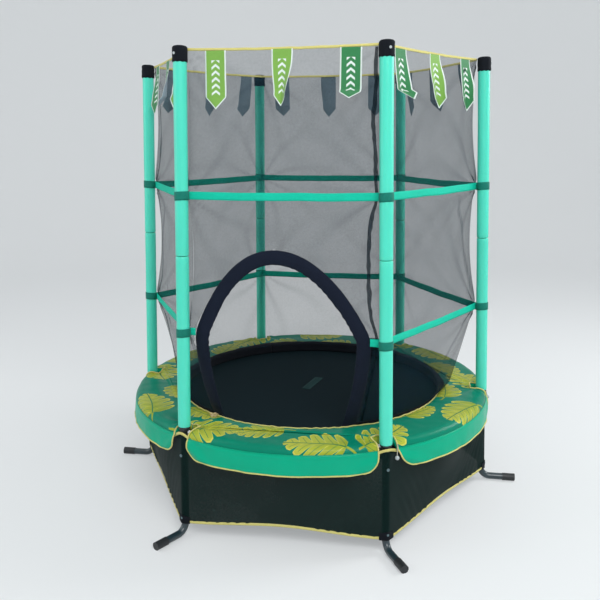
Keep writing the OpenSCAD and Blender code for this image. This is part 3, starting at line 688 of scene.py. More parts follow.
def netPoint(u, z, out=0.0, belly=0.0):
    # in a panel's own frame: u is -1 to 1 from seam to seam
    k = mix(roundness(z), bellyRoundness(z), belly)
    a = halfPanel * u
    n = hexN(z)
    drawn = n - net["draw"] if z >= layout["lowerZ"] else layout["netFootR"]
    flat = panelHalf(z) * u
    across = mix(flat, drawn * math.sin(a), k)
    return Vector((mix(n, drawn * math.cos(a), k) + out, across * (1 + out / n), z))


def creaseAt(i, u, z):
    # long sharp folds that lie where the cloth is gathered to a tie
    half = panelHalf(net["middleZ"])
    total = 0.0
    for panel, u0, z0, u1, z1, strong in net["creases"]:
        if panel != i:
            continue
        a, b = Vector((u0 * half, z0)), Vector((u1 * half, z1))
        along = b - a
        p = Vector((u * half, z)) - a
        share = p.dot(along) / along.length_squared
        if -0.05 < share < 1.05:
            bow = 0.010 * math.sin(math.pi * share) + 0.003 * ripple(share * 7, i)
            off = (p - along * share).length * math.copysign(1, along.x * p.y - along.y * p.x) - bow
            ends = smooth(share / 0.2) * smooth((1.05 - share) / 0.1)
            total += strong * math.exp(-(off / 0.006) ** 2) * ends
    return total


def tieReach(z):
    return min(abs(z - layout["upperZ"]), abs(z - layout["lowerZ"]), layout["netTopZ"] - z)


def netFold(i, u, z):
    # creases that fan out from the ties at the seams, and soft billows between
    half = panelHalf(z)
    depth, crease = 0.0, 0.0
    for side in (-1, 1):
        for tie in (layout["upperZ"], layout["lowerZ"], layout["netTopZ"]):
            x, y = (side - u) * half * side, z - tie
            reach = math.hypot(x, y)
            turn = math.atan2(y, x + 1e-6)
            fade = math.exp(-reach / 0.17) * smooth(reach / 0.03)
            wave = math.sin(turn * 9 + 2.5 * ripple(i + tie * 5, side * 3, reach * 4))
            depth += 0.0055 * fade * wave
            crease += fade * max(0.0, wave) ** 3 * 0.7
    line = creaseAt(i, u, z)
    held = min(tieReach(z), z - layout["netFootZ"] + 0.01)
    free = smooth(held / 0.06) * smooth((1 - abs(u)) / 0.08)
    depth += free * 0.010 * ripple(u * 2.2 + i * 4.1, z * 4.5, 0.7)
    depth += free * 0.004 * ripple(u * 6 + i, z * 3, 4.2)
    settle = smooth((z - net["bellyHigh"]) / 0.05)
    depth = depth * smooth(held / 0.02) * mix(0.15, 1, settle) - 0.001 * free - 0.004 * line * settle
    return depth, crease + 1.6 * line


def paintFold(piece, folds):
    layer = piece.data.attributes.new("fold", "FLOAT", "POINT")
    for k, value in enumerate(folds):
        layer.data[k].value = value


seam = dict(wide=0.012, off=0.015, bow=0.017, upperBow=0.004, lowOff=0.008, lowZ=0.62, inside=0.0035)
hem = dict(top=0.387, low=0.346)
# doorway in the front panel: half its width by height, in metres
door = dict(halfW=0.264, footW=0.222, wideZ=0.690, topZ=0.952, power=1.1, roundness=0.485,
            footX=0.027, wideX=0.007, topX=0.029, wide=0.046, thick=0.018, footZ=0.3575, footThin=0.35,
            footIn=0.0025, soften=25, heartZ=0.62)


def belowWide(z):
    # 0 where the doorway is widest, 1 at the net's foot
    return (door["wideZ"] - z) / (door["wideZ"] - layout["netFootZ"])


def aboveWide(z):
    return (z - door["wideZ"]) / (door["topZ"] - door["wideZ"])


def doorHalf(z):
    if z < door["wideZ"]:
        return mix(door["halfW"], door["footW"], belowWide(z) ** 2)
    share = min(1, aboveWide(z))
    return door["halfW"] * (1 - share ** door["power"]) ** door["roundness"]


def doorMid(z):
    # the doorway stands a little left of its panel's middle
    if z < door["wideZ"]:
        return -mix(door["wideX"], door["footX"], belowWide(z))
    return -mix(door["wideX"], door["topX"], aboveWide(z))


def netSurface(i, u, z, out=0.0):
    depth, crease = netFold(i, u, z)
    return panelTurn(i) @ netPoint(u, z, net["thick"] / 2 + depth + out, bellyAt(i, u)), crease


def netHeights():
    # rows lie close together where the net bends over the pad
    levels = [(layout["netFootZ"], 3), (net["bellyLow"], 6), (net["bellyHigh"], 30), (layout["lowerZ"], 40),
              (layout["upperZ"], 40), (layout["netTopZ"], 1)]
    rows = []
    for (low, steps), (high, _) in zip(levels, levels[1:]):
        rows += [mix(low, high, k / steps) for k in range(steps)]
    return rows + [layout["netTopZ"]]


def makeNetPanels():
    heights = netHeights()
    last = len(heights) - 1
    for i in range(1, 6):
        bm = bmesh.new()
        gridInto(bm, 80, last, lambda u, v: netSurface(i, 2 * u - 1, heights[round(v * last)])[0],
                 (2 * panelHalf(net["middleZ"]), 1))
        for co, mark in cornersOf(bm):
            mark.uv.y = co.z
        finishNet(f"netPanel_{i + 1}", bm, i, f"net_panel_{i + 1}")


def foldAt(i, co):
    local = panelTurn(i).transposed() @ co
    half = panelHalf(co.z)
    u = max(-1, min(1, local.y / half))
    gathered = 0.9 * math.exp(-(co.z - layout["netFootZ"]) / 0.045)
    return min(2.2, netFold(i, u, co.z)[1] + 0.55 * math.exp(-(1 - abs(u)) / 0.05) + gathered)


def finishNet(name, bm, i, node):
    piece = finishPiece(name, bm, paints["net"])
    paintFold(piece, [foldAt(i, v.co) for v in piece.data.vertices])
    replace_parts(piece, node)


def makeDoorPanel():
    # columns run from each seam to the doorway's edge, and over its top to the middle
    low, high = layout["netFootZ"], layout["netTopZ"]
    margin = door["wide"] / 2 + 0.002
    lift = door["topZ"] + margin
    middle = doorMid(lift) / netPoint(1, lift).y

    def beside(side, u, v):
        z = mix(low, lift, v)
        inner = doorHalf(z) + margin if z < door["topZ"] else 0.0
        inner = side * doorMid(z) + max(inner, math.sqrt(max(0, lift - z) * 0.05))
        inner = min(0.97, inner / netPoint(1, z).y)
        return netSurface(0, side * mix(1, inner, u), z)[0]

    def above(u, v):
        across = 2 * u - 1
        return netSurface(0, across + middle * (1 - abs(across)), mix(lift, high, v))[0]

    bm = bmesh.new()
    gridInto(bm, 22, 60, lambda u, v: beside(-1, u, v), (0.3, lift - low))
    gridInto(bm, 22, 60, lambda u, v: beside(1, 1 - u, v), (0.3, lift - low))
    gridInto(bm, 44, 60, above, (0.6, high - lift))
    bmesh.ops.remove_doubles(bm, verts=bm.verts, dist=2e-5)
    finishNet("netDoorPanel", bm, 0, "net_door_panel")


def makeNetSeam():
    # the one seam that closes the net, gathered and dark, inside the front panel by its right pole
    bm = bmesh.new()

    def place(u, v):
        z = mix(layout["netFootZ"], layout["netTopZ"] - 0.002, v)
        held = tieReach(z)
        free = smooth(held / 0.09) if z > layout["lowerZ"] else 0.15
        off = mix(seam["lowOff"], seam["off"], smooth((z - seam["lowZ"]) / 0.09))
        bow = seam["upperBow" if z > layout["upperZ"] else "bow"]
        off += free * (bow + 0.006 * ripple(z * 9, 1.5) + 0.0035 * ripple(z * 38, 7.5))
        wide = seam["wide"] * (0.75 + 0.45 * free * ripple(z * 38, 4.4) + 0.25 * free)
        crumple = 0.0020 * free * ripple(u * 3.5, z * 70)
        across = 1 - (off + (u - 0.5) * wide) / panelHalf(z)
        return panelTurn(0) @ netPoint(across, z, crumple - seam["inside"])

    gridInto(bm, 10, 260, place, (seam["wide"], 1.2))
    piece = finishPiece("netSeam", bm, paints["seamNet"])
    paintFold(piece, [0.0] * len(piece.data.vertices))


def makeNetHem():
    # a strip of black cloth along the net's foot, outside the doorway
    bm = bmesh.new()
    for i in range(6):
        spans = [(-1, 1)]
        if i == 0:
            half = netPoint(1, hem["top"]).y
            edges = [(side * doorHalf(hem["top"]) + doorMid(hem["top"])) / half for side in (-1, 1)]
            spans = [(a, b) for a, b in ((-1, edges[0]), (edges[1], 1)) if b - a > 0.02]
        for a, b in spans:
            def place(u, v):
                z = mix(hem["low"], hem["top"], v)
                x = mix(a, b, u)
                soft = 0.0007 * ripple(x * 14 + i * 3, v * 1.5) + 0.0005 * math.sin(x * 120)
                out = net["thick"] / 2 + soft * v
                lip = z + 0.0015 * v * ripple(x * 6 + i, 2)
                return panelTurn(i) @ netPoint(x, lip, out, bellyAt(i, x))
            share = (b - a) / 2
            gridInto(bm, max(4, int(70 * share)), 12, place, (0.52 * share, hem["top"] - hem["low"]))
    piece = finishPiece("netHem", bm, paints["blackCloth"])
    thicken(piece, 0.0022)


makeNetPanels()
makeDoorPanel()
makeNetSeam()
makeNetHem()
print("net made")

# ---- padded binding of the doorway
def doorInward(p):
    # the way straight in from the net at a point of the doorway's line
    k = roundness(p.z)
    a = halfPanel * max(-1, min(1, p.x / netPoint(1, p.z).y))
    return Vector((-k * math.sin(a), mix(1, math.cos(a), k), 0)).normalized()


def makeDoorBinding():
    side = [mix(door["footZ"], door["wideZ"], k / 60) for k in range(61)]
    side += [mix(door["wideZ"], door["topZ"], math.sin(math.pi / 2 * k / 45)) for k in range(1, 46)]
    line = [(doorMid(z) - doorHalf(z), z) for z in side]
    line += [(doorMid(z) + doorHalf(z), z) for z in side[-2::-1]]
    points = []
    for x, z in line:
        half = netPoint(1, z).y
        inward = door["footIn"] * (1 - smooth((z - layout["padTopZ"]) / 0.03))
        p = netPoint(max(-1, min(1, x / half)), z, net["thick"] / 2 - inward)
        pastSeam = max(0, abs(x) - half) * math.tan(halfPanel * (2 - roundness(z)))
        points.append(Vector((x, pastSeam - p.x, z)))
    even = evened(resample(points, 300), door["soften"])
    last = len(even) - 1
    apex = max(range(last), key=lambda k: even[k].z)

    def at(v):
        return min(last, int(round(v * last)))

    def thin(v):
        return mix(door["footThin"], 1, smooth((even[at(v)].z - layout["padTopZ"] - 0.004) / 0.05))

    def wide(v):
        fuller = 0.03 * math.exp(-((at(v) - apex) / 22) ** 2)
        return door["wide"] / 2 * (1 + 0.025 * ripple(v * 17, 2.5) + fuller)

    def thick(v):
        return door["thick"] / 2 * thin(v) * (1 + 0.08 * ripple(v * 50, 5.5))

    bm = bmesh.new()
    sweepInto(bm, even, wide, thick, sides=26, up=lambda v: -doorInward(even[at(v)]))
    for v in bm.verts:
        # small tucks on the inner edge, where the cloth is gathered round the curve
        k = nearestShare(even, v.co)
        way = v.co - even[k]
        if way.length < 1e-5:
            continue
        fromHeart = even[k] - Vector((doorMid(door["heartZ"]), even[k].y, door["heartZ"]))
        inner = smooth(-way.normalized().dot(fromHeart.normalized()) * 1.3 - 0.2)
        tuck = abs(math.sin(k * 0.55 + 3.5 * ripple(k * 0.05, 3))) * smooth(0.5 + 1.6 * ripple(k * 0.04, 8.5))
        v.co += way.normalized() * (-0.0022 * inner * tuck + 0.0005 * ripple(k * 0.4, way.x * 60, way.z * 60))
    piece = finishPiece("doorBinding", outward(bm), paints["bindingCloth"])
    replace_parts(piece, "door_arch")


def resample(points, count):
    total = lengthOf(points)
    out, k, run = [points[0].copy()], 0, 0.0
    for n in range(1, count):
        want = total * n / (count - 1)
        while k < len(points) - 2 and run + (points[k + 1] - points[k]).length < want:
            run += (points[k + 1] - points[k]).length
            k += 1
        step = (points[k + 1] - points[k]).length
        out.append(points[k].lerp(points[k + 1], min(1, (want - run) / max(step, 1e-9))))
    return out


def nearestShare(points, co):
    return min(range(len(points)), key=lambda k: (points[k] - co).length_squared)


makeDoorBinding()
print("doorway binding made")

# ---- top binding and corner pockets
topEdge = dict(thick=0.007, pocketR=0.0233, pocketH=0.047, wall=0.002)


def makeTopBinding():
    reach = poleR(layout["cordZ"]) - topEdge["pocketR"] + topEdge["wall"] / 2
    n = reach * math.cos(halfPanel) - topEdge["thick"] / 2
    half = n * math.tan(halfPanel)
    bm = bmesh.new()
    for i in range(6):
        turn = panelTurn(i)
        points = []
        for k in range(61):
            s = mix(-1, 1, k / 60)
            free = 1 - s * s
            z = layout["cordZ"] - 0.004 * free + 0.0012 * free * ripple(s * 9, i * 2.0)
            points.append(turn @ Vector((n + 0.0008 * free * ripple(s * 7 + i, 1), s * half, z)))
        sweepInto(bm, points, lambda v: 0.0022 + 0.0004 * ripple(v * 40, 2),
                  lambda v: 0.0042 + 0.0004 * ripple(v * 30, i), sides=10)
    piece = finishPiece("topBinding", outward(bm), paints["tape"])
    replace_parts(piece, "net_top_cord")


def makePockets():
    bm = bmesh.new()
    for i in range(6):
        r, h, w = topEdge["pocketR"], topEdge["pocketH"], topEdge["wall"]
        profile = [(r - w, 0.001), (r - w * 0.5, -0.0008), (r, 0.0005), (r + 0.0006, 0.006)]
        profile += [(r + 0.0001, 0.0085)]
        profile += [(r, 0.0085 + (h - 0.0155) * k / 6) for k in range(1, 7)]
        profile += [(r - 0.0012, h - 0.004), (r - 0.0045, h - 0.0012), (r * 0.6, h), (0, h)]
        verts = spinInto(bm, profile, steps=40)
        for v in verts:
            a = math.atan2(v.co.y, v.co.x)
            reach = math.hypot(v.co.x, v.co.y)
            if reach > r * 0.5:
                gather = 0.0006 * math.sin(a * 11 + i) * smooth((0.014 - v.co.z) / 0.012)
                slack = 0.0009 * ripple(math.cos(a) * 2 + i * 5, math.sin(a) * 2, v.co.z * 60)
                v.co.xy *= 1 + (gather + slack * 0.8) / reach
            if v.co.z < 0.002:
                v.co.z += 0.0016 * math.sin(a * 9 + 2 * i) * 0.6
        bmesh.ops.transform(bm, matrix=onPole(i, layout["topZ"] - h), verts=verts)
    piece = finishPiece("cornerPockets", bm, paints["blackCloth"])
    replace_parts(piece, "corner_pockets")


makeTopBinding()
makePockets()
print("top edge made")

# ---- webbing: runs between the poles and loops round the sleeves
webbing = dict(wide=0.025, thick=0.0015, loopR=0.02205, sag=0.003,
               lift=dict(upperStrap=(0, 0, 0, 0, 0, 0), lowerStrap=(0.008, -0.008, 0, 0, 0, 0)))


def makeStraps(name, z, gap=None):
    bm = bmesh.new()
    n = strapOut(z) - webbing["thick"] / 2
    half = (poleR(z) - net["loopR"] + 0.00075) * math.sin(halfPanel)
    lift = webbing["lift"][name]
    for i in range(6):
        spans = [(-1, 1)] if gap is None or i else [(-1, gap[0] / half), (gap[1] / half, 1)]
        turn = panelTurn(i)
        for a, b in spans:
            full = b - a > 1.5
            steps = 64 if full else 8

            def place(u, v):
                s = mix(a, b, u)
                free = (1 - s * s) if full else 0.0
                tip = (v - 0.5) * webbing["wide"]
                twist = free * 0.20 * ripple(s * 1.7 + i * 2.7, z * 10)
                lie = z + mix(lift[i], lift[(i + 1) % 6], (s + 1) / 2) - webbing["sag"] * free
                return turn @ Vector((n - math.sin(twist) * tip, s * half,
                                      lie + 0.002 * free * ripple(s * 3 + i, z) + math.cos(twist) * tip))

            gridInto(bm, steps, 4, place, ((b - a) * half, webbing["wide"]))
    runs = finishPiece(name + "Runs", bm, paints["webbing"])
    thicken(runs, webbing["thick"])
    bm = bmesh.new()
    for i in range(6):
        spot = onPole(i, z + lift[i])

        def place(u, v):
            a = 2 * math.pi * u
            lap = 0.0010 * smooth((math.cos(a - 2.6) - 0.55) / 0.2)   # where the end is lapped over
            r = webbing["loopR"] + lap + 0.0004 * ripple(math.cos(a) * 2 + i, v * 3, z)
            return spot @ Vector((r * math.cos(a), r * math.sin(a),
                                  (v - 0.5) * 0.027 + 0.0018 * math.sin(a + i * 1.3)))

        gridInto(bm, 40, 4, place, (2 * math.pi * webbing["loopR"], 0.027), weld=True)
    loops = finishPiece(name + "Loops", bm, paints["loopWebbing"])
    thicken(loops, webbing["thick"])
    return runs


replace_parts(makeStraps("upperStrap", layout["upperZ"]), "upper_strap")
doorEdge, doorMiddle = door["halfW"] + door["wide"] / 2 - 0.004, doorMid(layout["lowerZ"])
doorGap = (doorMiddle - doorEdge, doorMiddle + doorEdge)
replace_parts(makeStraps("lowerStrap", layout["lowerZ"], doorGap), "lower_strap")
print("webbing made")

# ---- pennants: sway, twist, curl of the tip, and how far the side folds in, for each of three on a side
pennant = dict(wide=0.065, long=0.175, tip=0.038, pitch=0.205, top=1.5753, gap=0.0016,
               moods=[[(0.00, 0.00, 0.1, 0.0), (0.15, 0.75, 0.3, 0.4), (0.05, -0.15, 0.9, 0.1)],
                      [(0.05, 0.55, 0.9, 0.3), (0.10, 0.75, 0.2, 0.5), (0.05, 0.65, 0.1, 0.6)],
                      [(0.10, 0.30, 0.2, 0.2), (0.05, -0.45, 0.5, 0.3), (0.12, 0.20, 0.1, 0.2)],
                      [(0.05, -0.25, 0.3, 0.2), (0.10, 0.35, 0.2, 0.3), (0.06, -0.3, 0.4, 0.1)],
                      [(0.08, 0.40, 0.3, 0.3), (0.05, -0.35, 0.2, 0.2), (0.10, 0.5, 0.5, 0.3)],
                      [(0.05, -0.50, 0.2, 0.4), (0.10, 0.45, 0.6, 0.3), (0.06, -0.6, 0.3, 0.4)]],
               deep=[[2], [0, 2], [1], [0], [2], [0, 1]])


def pennantTaper(down):
    return min(1, (pennant["long"] - down) / pennant["tip"])


def makePennants():
    straight = pennant["long"] - pennant["tip"]
    for i in range(6):
        turn = panelTurn(i)
        for k in range(3):
            sway, twist, curl, fold = pennant["moods"][i][k]
            middle = (k - 1) * pennant["pitch"]

            def place(u, v):
                down = v * pennant["long"]
                x = (u - 0.5) * pennant["wide"] * pennantTaper(down)
                hang = smooth(v * 1.3)
                turned = twist * hang
                # the loose side rolls round
                roll = fold * hang * 26
                if x > 0 and roll > 0.01:
                    y, side = (1 - math.cos(roll * x * 2)) / (roll * 2), math.sin(roll * x * 2) / (roll * 2)
                else:
                    y, side = 0.0, x
                tipUp = max(0, down - straight * 0.86) * curl
                bow = 0.010 * sway * math.sin(math.pi * v) + 0.004 * ripple(u * 1.5 + k, v * 2.5 + i, 3)
                sway2 = 0.06 * sway * hang * v
                xx = side * math.cos(turned) - y * math.sin(turned)
                yy = side * math.sin(turned) + y * math.cos(turned)
                out = abs(yy) * 0.6 + yy * 0.4 + bow * hang + sway2 + 0.9 * tipUp
                n = hexN(layout["netTopZ"] - down) + net["thick"] + pennant["gap"]
                z = pennant["top"] - down + 0.55 * tipUp
                return turn @ Vector((n + 0.001 * hang + out, middle + xx, z))

            bm = bmesh.new()
            gridInto(bm, 14, 34, place)
            for _, mark in cornersOf(bm):
                down = mark.uv.y * pennant["long"]
                mark.uv = ((mark.uv.x - 0.5) * pennant["wide"] * pennantTaper(down), down)
            bmesh.ops.remove_doubles(bm, verts=bm.verts, dist=1e-5)
            bmesh.ops.reverse_faces(bm, faces=bm.faces)
            color = "deepGreen" if k in pennant["deep"][i] else "paleGreen"
            piece = finishPiece(f"pennant_{i + 1}_{k + 1}", bm, paints[color], f"pennant_row_{i + 1}")
            # the back and rim take the painted glow that stands in for light shining through the cloth
            piece.data.materials.append(paints["pennantBackPaintedGlow"])
            thicken(piece, 0.0006).modifiers["wall"].material_offset = 1
            if k == 0:
                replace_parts(piece, f"pennants_{i + 1}")


makePennants()
print("pennants made")

# ---- jumping mat, its rings and elastic loops
mat = dict(r=0.525, z=0.3415, hem=0.030, patch=(0.148, 0.034), patchAt=(0.0015, 0.045), patchTurn=77,
           loops=36, ringAt=0.529, ringR=0.009, wire=0.004, loopT=0.005)


def loopAngles():
    return [math.radians((k + 0.5) * 360 / mat["loops"]) for k in range(mat["loops"])]


def makeMat():
    bm = bmesh.new()

    def place(u, v):
        r = mat["r"] * v
        a = 2 * math.pi * u
        z = mat["z"] + 0.0006 * ripple(r * 5 * math.cos(a), r * 5 * math.sin(a)) * (1 - v)
        if r > mat["r"] - mat["hem"]:
            z += 0.0006 + 0.0005 * math.sin(a * 90) * smooth((r - mat["r"] + mat["hem"]) / 0.01)
        return polar(max(r, 1e-7), a, z)

    gridInto(bm, 180, 40, place, (2 * math.pi * 0.4, mat["r"]), weld=True)
    cloth = finishPiece("matCloth", outward(bm), paints["matCloth"], "mat")
    thicken(cloth, 0.0024)
    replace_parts(cloth, "jump_mat")
    # a plain sewn patch
    bm = bmesh.new()
    w, h = mat["patch"]
    spot = Matrix.Translation((*mat["patchAt"], mat["z"] + 0.0019))
    turn = spot @ Matrix.Rotation(math.radians(mat["patchTurn"]), 4, "Z")

    def lie(u, v):
        return turn @ Vector(((u - 0.5) * w, (v - 0.5) * h, 0.0003 * ripple(u * 3, v * 3)))

    gridInto(bm, 20, 10, lie, (w, h))
    patch = finishPiece("matPatch", bm, paints["patchCloth"], "mat")
    thicken(patch, 0.0006, 1)
    bm = bmesh.new()
    wire = [polar(mat["wire"] / 2, math.radians(t), 0) for t in range(0, 361, 45)]
    for a in loopAngles():
        spot = Matrix.Translation(polar(mat["ringAt"], a, mat["z"]))
        spinInto(bm, [(mat["ringR"] + p.x, p.y) for p in wire], spot, 20)
    rings = finishPiece("matRings", bm, paints["zinc"], "mat")
    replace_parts(rings, "mat_rings")


def makeElastics():
    far = Vector((mat["ringAt"] + mat["ringR"] - layout["railR"], mat["z"] - layout["railZ"]))
    big, small = layout["tubeR"] + 0.0003 + mat["loopT"] / 2, 0.00313 + mat["loopT"] / 2
    lie = math.atan2(far.y, far.x)
    turn = math.acos((big - small) / far.length)
    line = [polar(big, mix(lie + turn, lie - turn + 2 * math.pi, k / 18), 0).xy for k in range(19)]
    line += [far + polar(small, mix(lie - turn, lie + turn, k / 8), 0).xy for k in range(9)]
    first = None
    for k, a in enumerate(loopAngles()):
        points = [polar(layout["railR"] + x, a, layout["railZ"] + y) for x, y in line]
        bm = bmesh.new()
        sweepInto(bm, points, mat["loopT"] / 2, sides=8, closed=True, up=polar(1, a + math.pi / 2, 0))
        piece = finishPiece(f"elastic_{k + 1}", outward(bm), paints["elastic"], None)
        polar(layout["railR"] - 0.016, a, layout["railZ"])
        polar(mat["ringAt"] + mat["ringR"] + 0.004, a, mat["z"])
        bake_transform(piece)
        first = first or piece
    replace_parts(first, "bungee_loops")


def patchMaterial():
    material, tree, surface = newMaterial("patchCloth", Roughness=0.75, Specular_IOR_Level=0.12)
    coords = clothCoords(tree)
    x, y = (part.do("MINIMUM", size - part) for part, size in zip(twoParts(tree, coords), mat["patch"]))
    stitch = abs(x.do("MINIMUM", y) - 0.003) < 0.0007
    weave = useGroup(tree, weaveGroup, Coords=coords, Threads=800.0, Slub=0.3)
    color = blend(tree, stitch, (0.010, 0.036, 0.037), (0.045, 0.085, 0.085))
    link(tree, color, surface.inputs["Base Color"])
    bumpOf(tree, surface, weave["Height"], 0.0003)
    return material


paints["patchCloth"] = patchMaterial()
makeMat()
makeElastics()
print("mat made")

# ---- ring pad
pad = dict(innerR=0.503, low=0.3535, high=0.3755, crown=0.005, crownAt=0.55, notchHalf=0.033, notchIn=0.6225,
           shoulderR=0.655, faceR=0.6805, creaseZ=0.3575, flapLow=0.290, flare=0.0075, belly=0.0022,
           cornerR=0.040, spread={(5, 1): 0.010, (1, 0): 0.033, (0, 0): 0.006, (0, 1): 0.008},
           spreadElse=0.006,
           panelSteps=72, notchSteps=4, piping=0.006, pipeSteps=1600, innerSteps=420, flapTall=0.070,
           printStart=0.9, knot=(-0.270, -0.454, 0.3765))


def notchAngle(r, widen=0.0):
    return math.asin((pad["notchHalf"] + widen) / r)


def padAngle(u, r, widen=0.0):
    # u runs once round; its lines follow the straight sides of every notch
    turn = u * 6
    i = math.floor(turn + 1e-9)
    s = turn - i
    per = pad["panelSteps"] + 2 * pad["notchSteps"]
    edge = pad["notchSteps"] / per
    side = notchAngle(max(r, pad["notchIn"]), widen)
    if s < edge:
        a = mix(0, side, s / edge)
    elif s > 1 - edge:
        a = mix(2 * halfPanel - side, 2 * halfPanel, (s - 1 + edge) / edge)
    else:
        a = mix(side, 2 * halfPanel - side, (s - edge) / (1 - 2 * edge))
    return poleAngle(0) + i * 2 * halfPanel + a


def padTop(r):
    # height of the smooth top at a radius: crowned, then round over the shoulder
    full = pad["high"] + pad["crown"]
    if r > pad["shoulderR"]:
        over = min(1, (r - pad["shoulderR"]) / (pad["faceR"] - pad["shoulderR"]))
        return pad["creaseZ"] + (full - pad["creaseZ"]) * math.sqrt(1 - over * over)
    inner = pad["innerR"] + (pad["high"] - pad["low"]) / 2
    share = max(0, (r - inner) / (pad["shoulderR"] - inner))
    return pad["high"] + pad["crown"] * math.sin(math.pi / 2 * min(1, share / pad["crownAt"])) ** 0.8


def shoulder(degrees, proud=0.0):
    # a point of the round outer shoulder, from 90 at the top to 0 at the crease
    a = math.radians(degrees)
    across = pad["faceR"] - pad["shoulderR"] + proud
    tall = pad["high"] + pad["crown"] - pad["creaseZ"] + proud
    return pad["shoulderR"] + across * math.cos(a), pad["creaseZ"] + tall * math.sin(a)


def padSection():
    # closed half section: underside, round inner edge, crowned top, round shoulder
    t = (pad["high"] - pad["low"]) / 2
    mid = (pad["high"] + pad["low"]) / 2
    inner = pad["innerR"] + t
    points = [(mix(pad["faceR"] - 0.002, pad["notchIn"], k / 6), pad["low"]) for k in range(7)]
    points += [(mix(pad["notchIn"], inner, k / 8), pad["low"]) for k in range(1, 9)]
    arc = [polar(t, math.radians(a), 0) for a in range(255, 90, -15)]
    points += [(inner + p.x, mid + p.y) for p in arc]
    points += [(r, padTop(r)) for r in (mix(inner, pad["notchIn"], k / 18) for k in range(19))]
    points += [(r, padTop(r)) for r in (mix(pad["notchIn"], pad["shoulderR"], k / 5) for k in range(1, 6))]
    return points + [shoulder(a) for a in range(80, -1, -10)]


def padPucker(r, a, up):
    # wrinkles drawn towards the notches, small gathers at the edges and slow waves
    total = 0.0
    for i in range(6):
        for side in (-1, 1):
            corner = poleAngle(i) + side * notchAngle(pad["notchIn"])
            d = (a - corner + math.pi) % (2 * math.pi) - math.pi
            x, y = d * r, r - pad["notchIn"] - 0.01
            reach = math.hypot(x, y)
            if reach < 0.30:
                turn = math.atan2(y, x * side + 1e-9)
                strong = 0.0042 if i == 0 else 0.0032
                fade = math.exp(-reach / 0.075) * smooth(reach / 0.02)
                total += strong * fade * math.sin(turn * 7 + i * 1.7 + side)
    total += 0.0026 * ripple(math.cos(a) * r * 9, math.sin(a) * r * 9, 2.2)
    total += 0.0012 * ripple(math.cos(a) * r * 26, math.sin(a) * r * 26, 5.2)
    nearIn = math.exp(-(r - pad["innerR"]) / 0.034)
    nearOut = math.exp(-max(0, pad["faceR"] - r) / 0.018)
    gather = math.sin(a * 84 + 6 * ripple(a * 4, 1)) * (0.6 + ripple(a * 9, 7.3))
    total += 0.0016 * nearIn * gather + 0.0012 * nearOut * ripple(a * 34, 6.1)
    return total * up


def padLift(z):
    # how free the skin is to wrinkle: nothing underneath, all of it on top
    return smooth((z - pad["low"] - 0.004) / 0.014)


def makePadBody():
    section = padSection()
    count = len(section)
    per = 6 * (pad["panelSteps"] + 2 * pad["notchSteps"])
    bm = bmesh.new()

    def place(u, v):
        r, z = section[int(round(v * count)) % count]
        a = padAngle(u, r)
        return polar(r, a, z + padPucker(r, a, padLift(z)) - (0.0004 if z < pad["low"] + 0.0041 else 0))

    gridInto(bm, per, count, place, (1, 1), weld=True)
    cut = []
    uvLayer = bm.loops.layers.uv["cloth"]
    edge = pad["notchSteps"] / (pad["panelSteps"] + 2 * pad["notchSteps"])
    for face in bm.faces:
        u = sum(c[uvLayer].uv.x for c in face.loops) / len(face.loops)
        s = (u * 6) % 1
        r = math.hypot(*face.calc_center_median().xy)
        if (s < edge or s > 1 - edge) and r > pad["notchIn"]:
            cut.append(face)
    bmesh.ops.delete(bm, geom=cut, context="FACES")
    rims = [e for e in bm.edges if e.is_boundary]
    # the wall at the inner end of each notch, then its two sides
    inner = [e for e in rims if all(abs(math.hypot(*v.co.xy) - pad["notchIn"]) < 1e-4 for v in e.verts)]
    bmesh.ops.bridge_loops(bm, edges=inner)
    bmesh.ops.holes_fill(bm, edges=[e for e in bm.edges if e.is_boundary], sides=80)
    outward(bm)
    printLayer = bm.loops.layers.uv.new("print")
    third = 2 * math.pi / 3
    start = poleAngle(0) + pad["printStart"]
    for face in bm.faces:
        centre = face.calc_center_median()
        away = Vector((centre.x, centre.y, 0)).normalized()
        onShoulder = face.normal.dot(away) > 0.5 and centre.z > pad["creaseZ"]
        face.material_index = 0 if face.normal.z > 0.3 or onShoulder else 1
        sector = math.floor((math.atan2(centre.y, centre.x) - start) / third)
        turn = Matrix.Rotation(-(sector * third + start), 3, "Z")
        for corner in face.loops:
            p = turn @ corner.vert.co
            reach = math.hypot(p.x, p.y)
            # the print runs on down the shoulder at its true length
            over, bend = max(0, reach - pad["shoulderR"]), pad["faceR"] - pad["shoulderR"]
            drop = math.asin(min(1, over / bend)) * bend - over
            corner[printLayer].uv = (p.x * (1 + drop / reach), p.y * (1 + drop / reach))
    piece = finishPiece("padBody", bm, paints["printedVinyl"])
    piece.data.materials.append(paints["plainVinyl"])
    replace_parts(piece, "pad_cover", "pad_foam", "pad_piping")


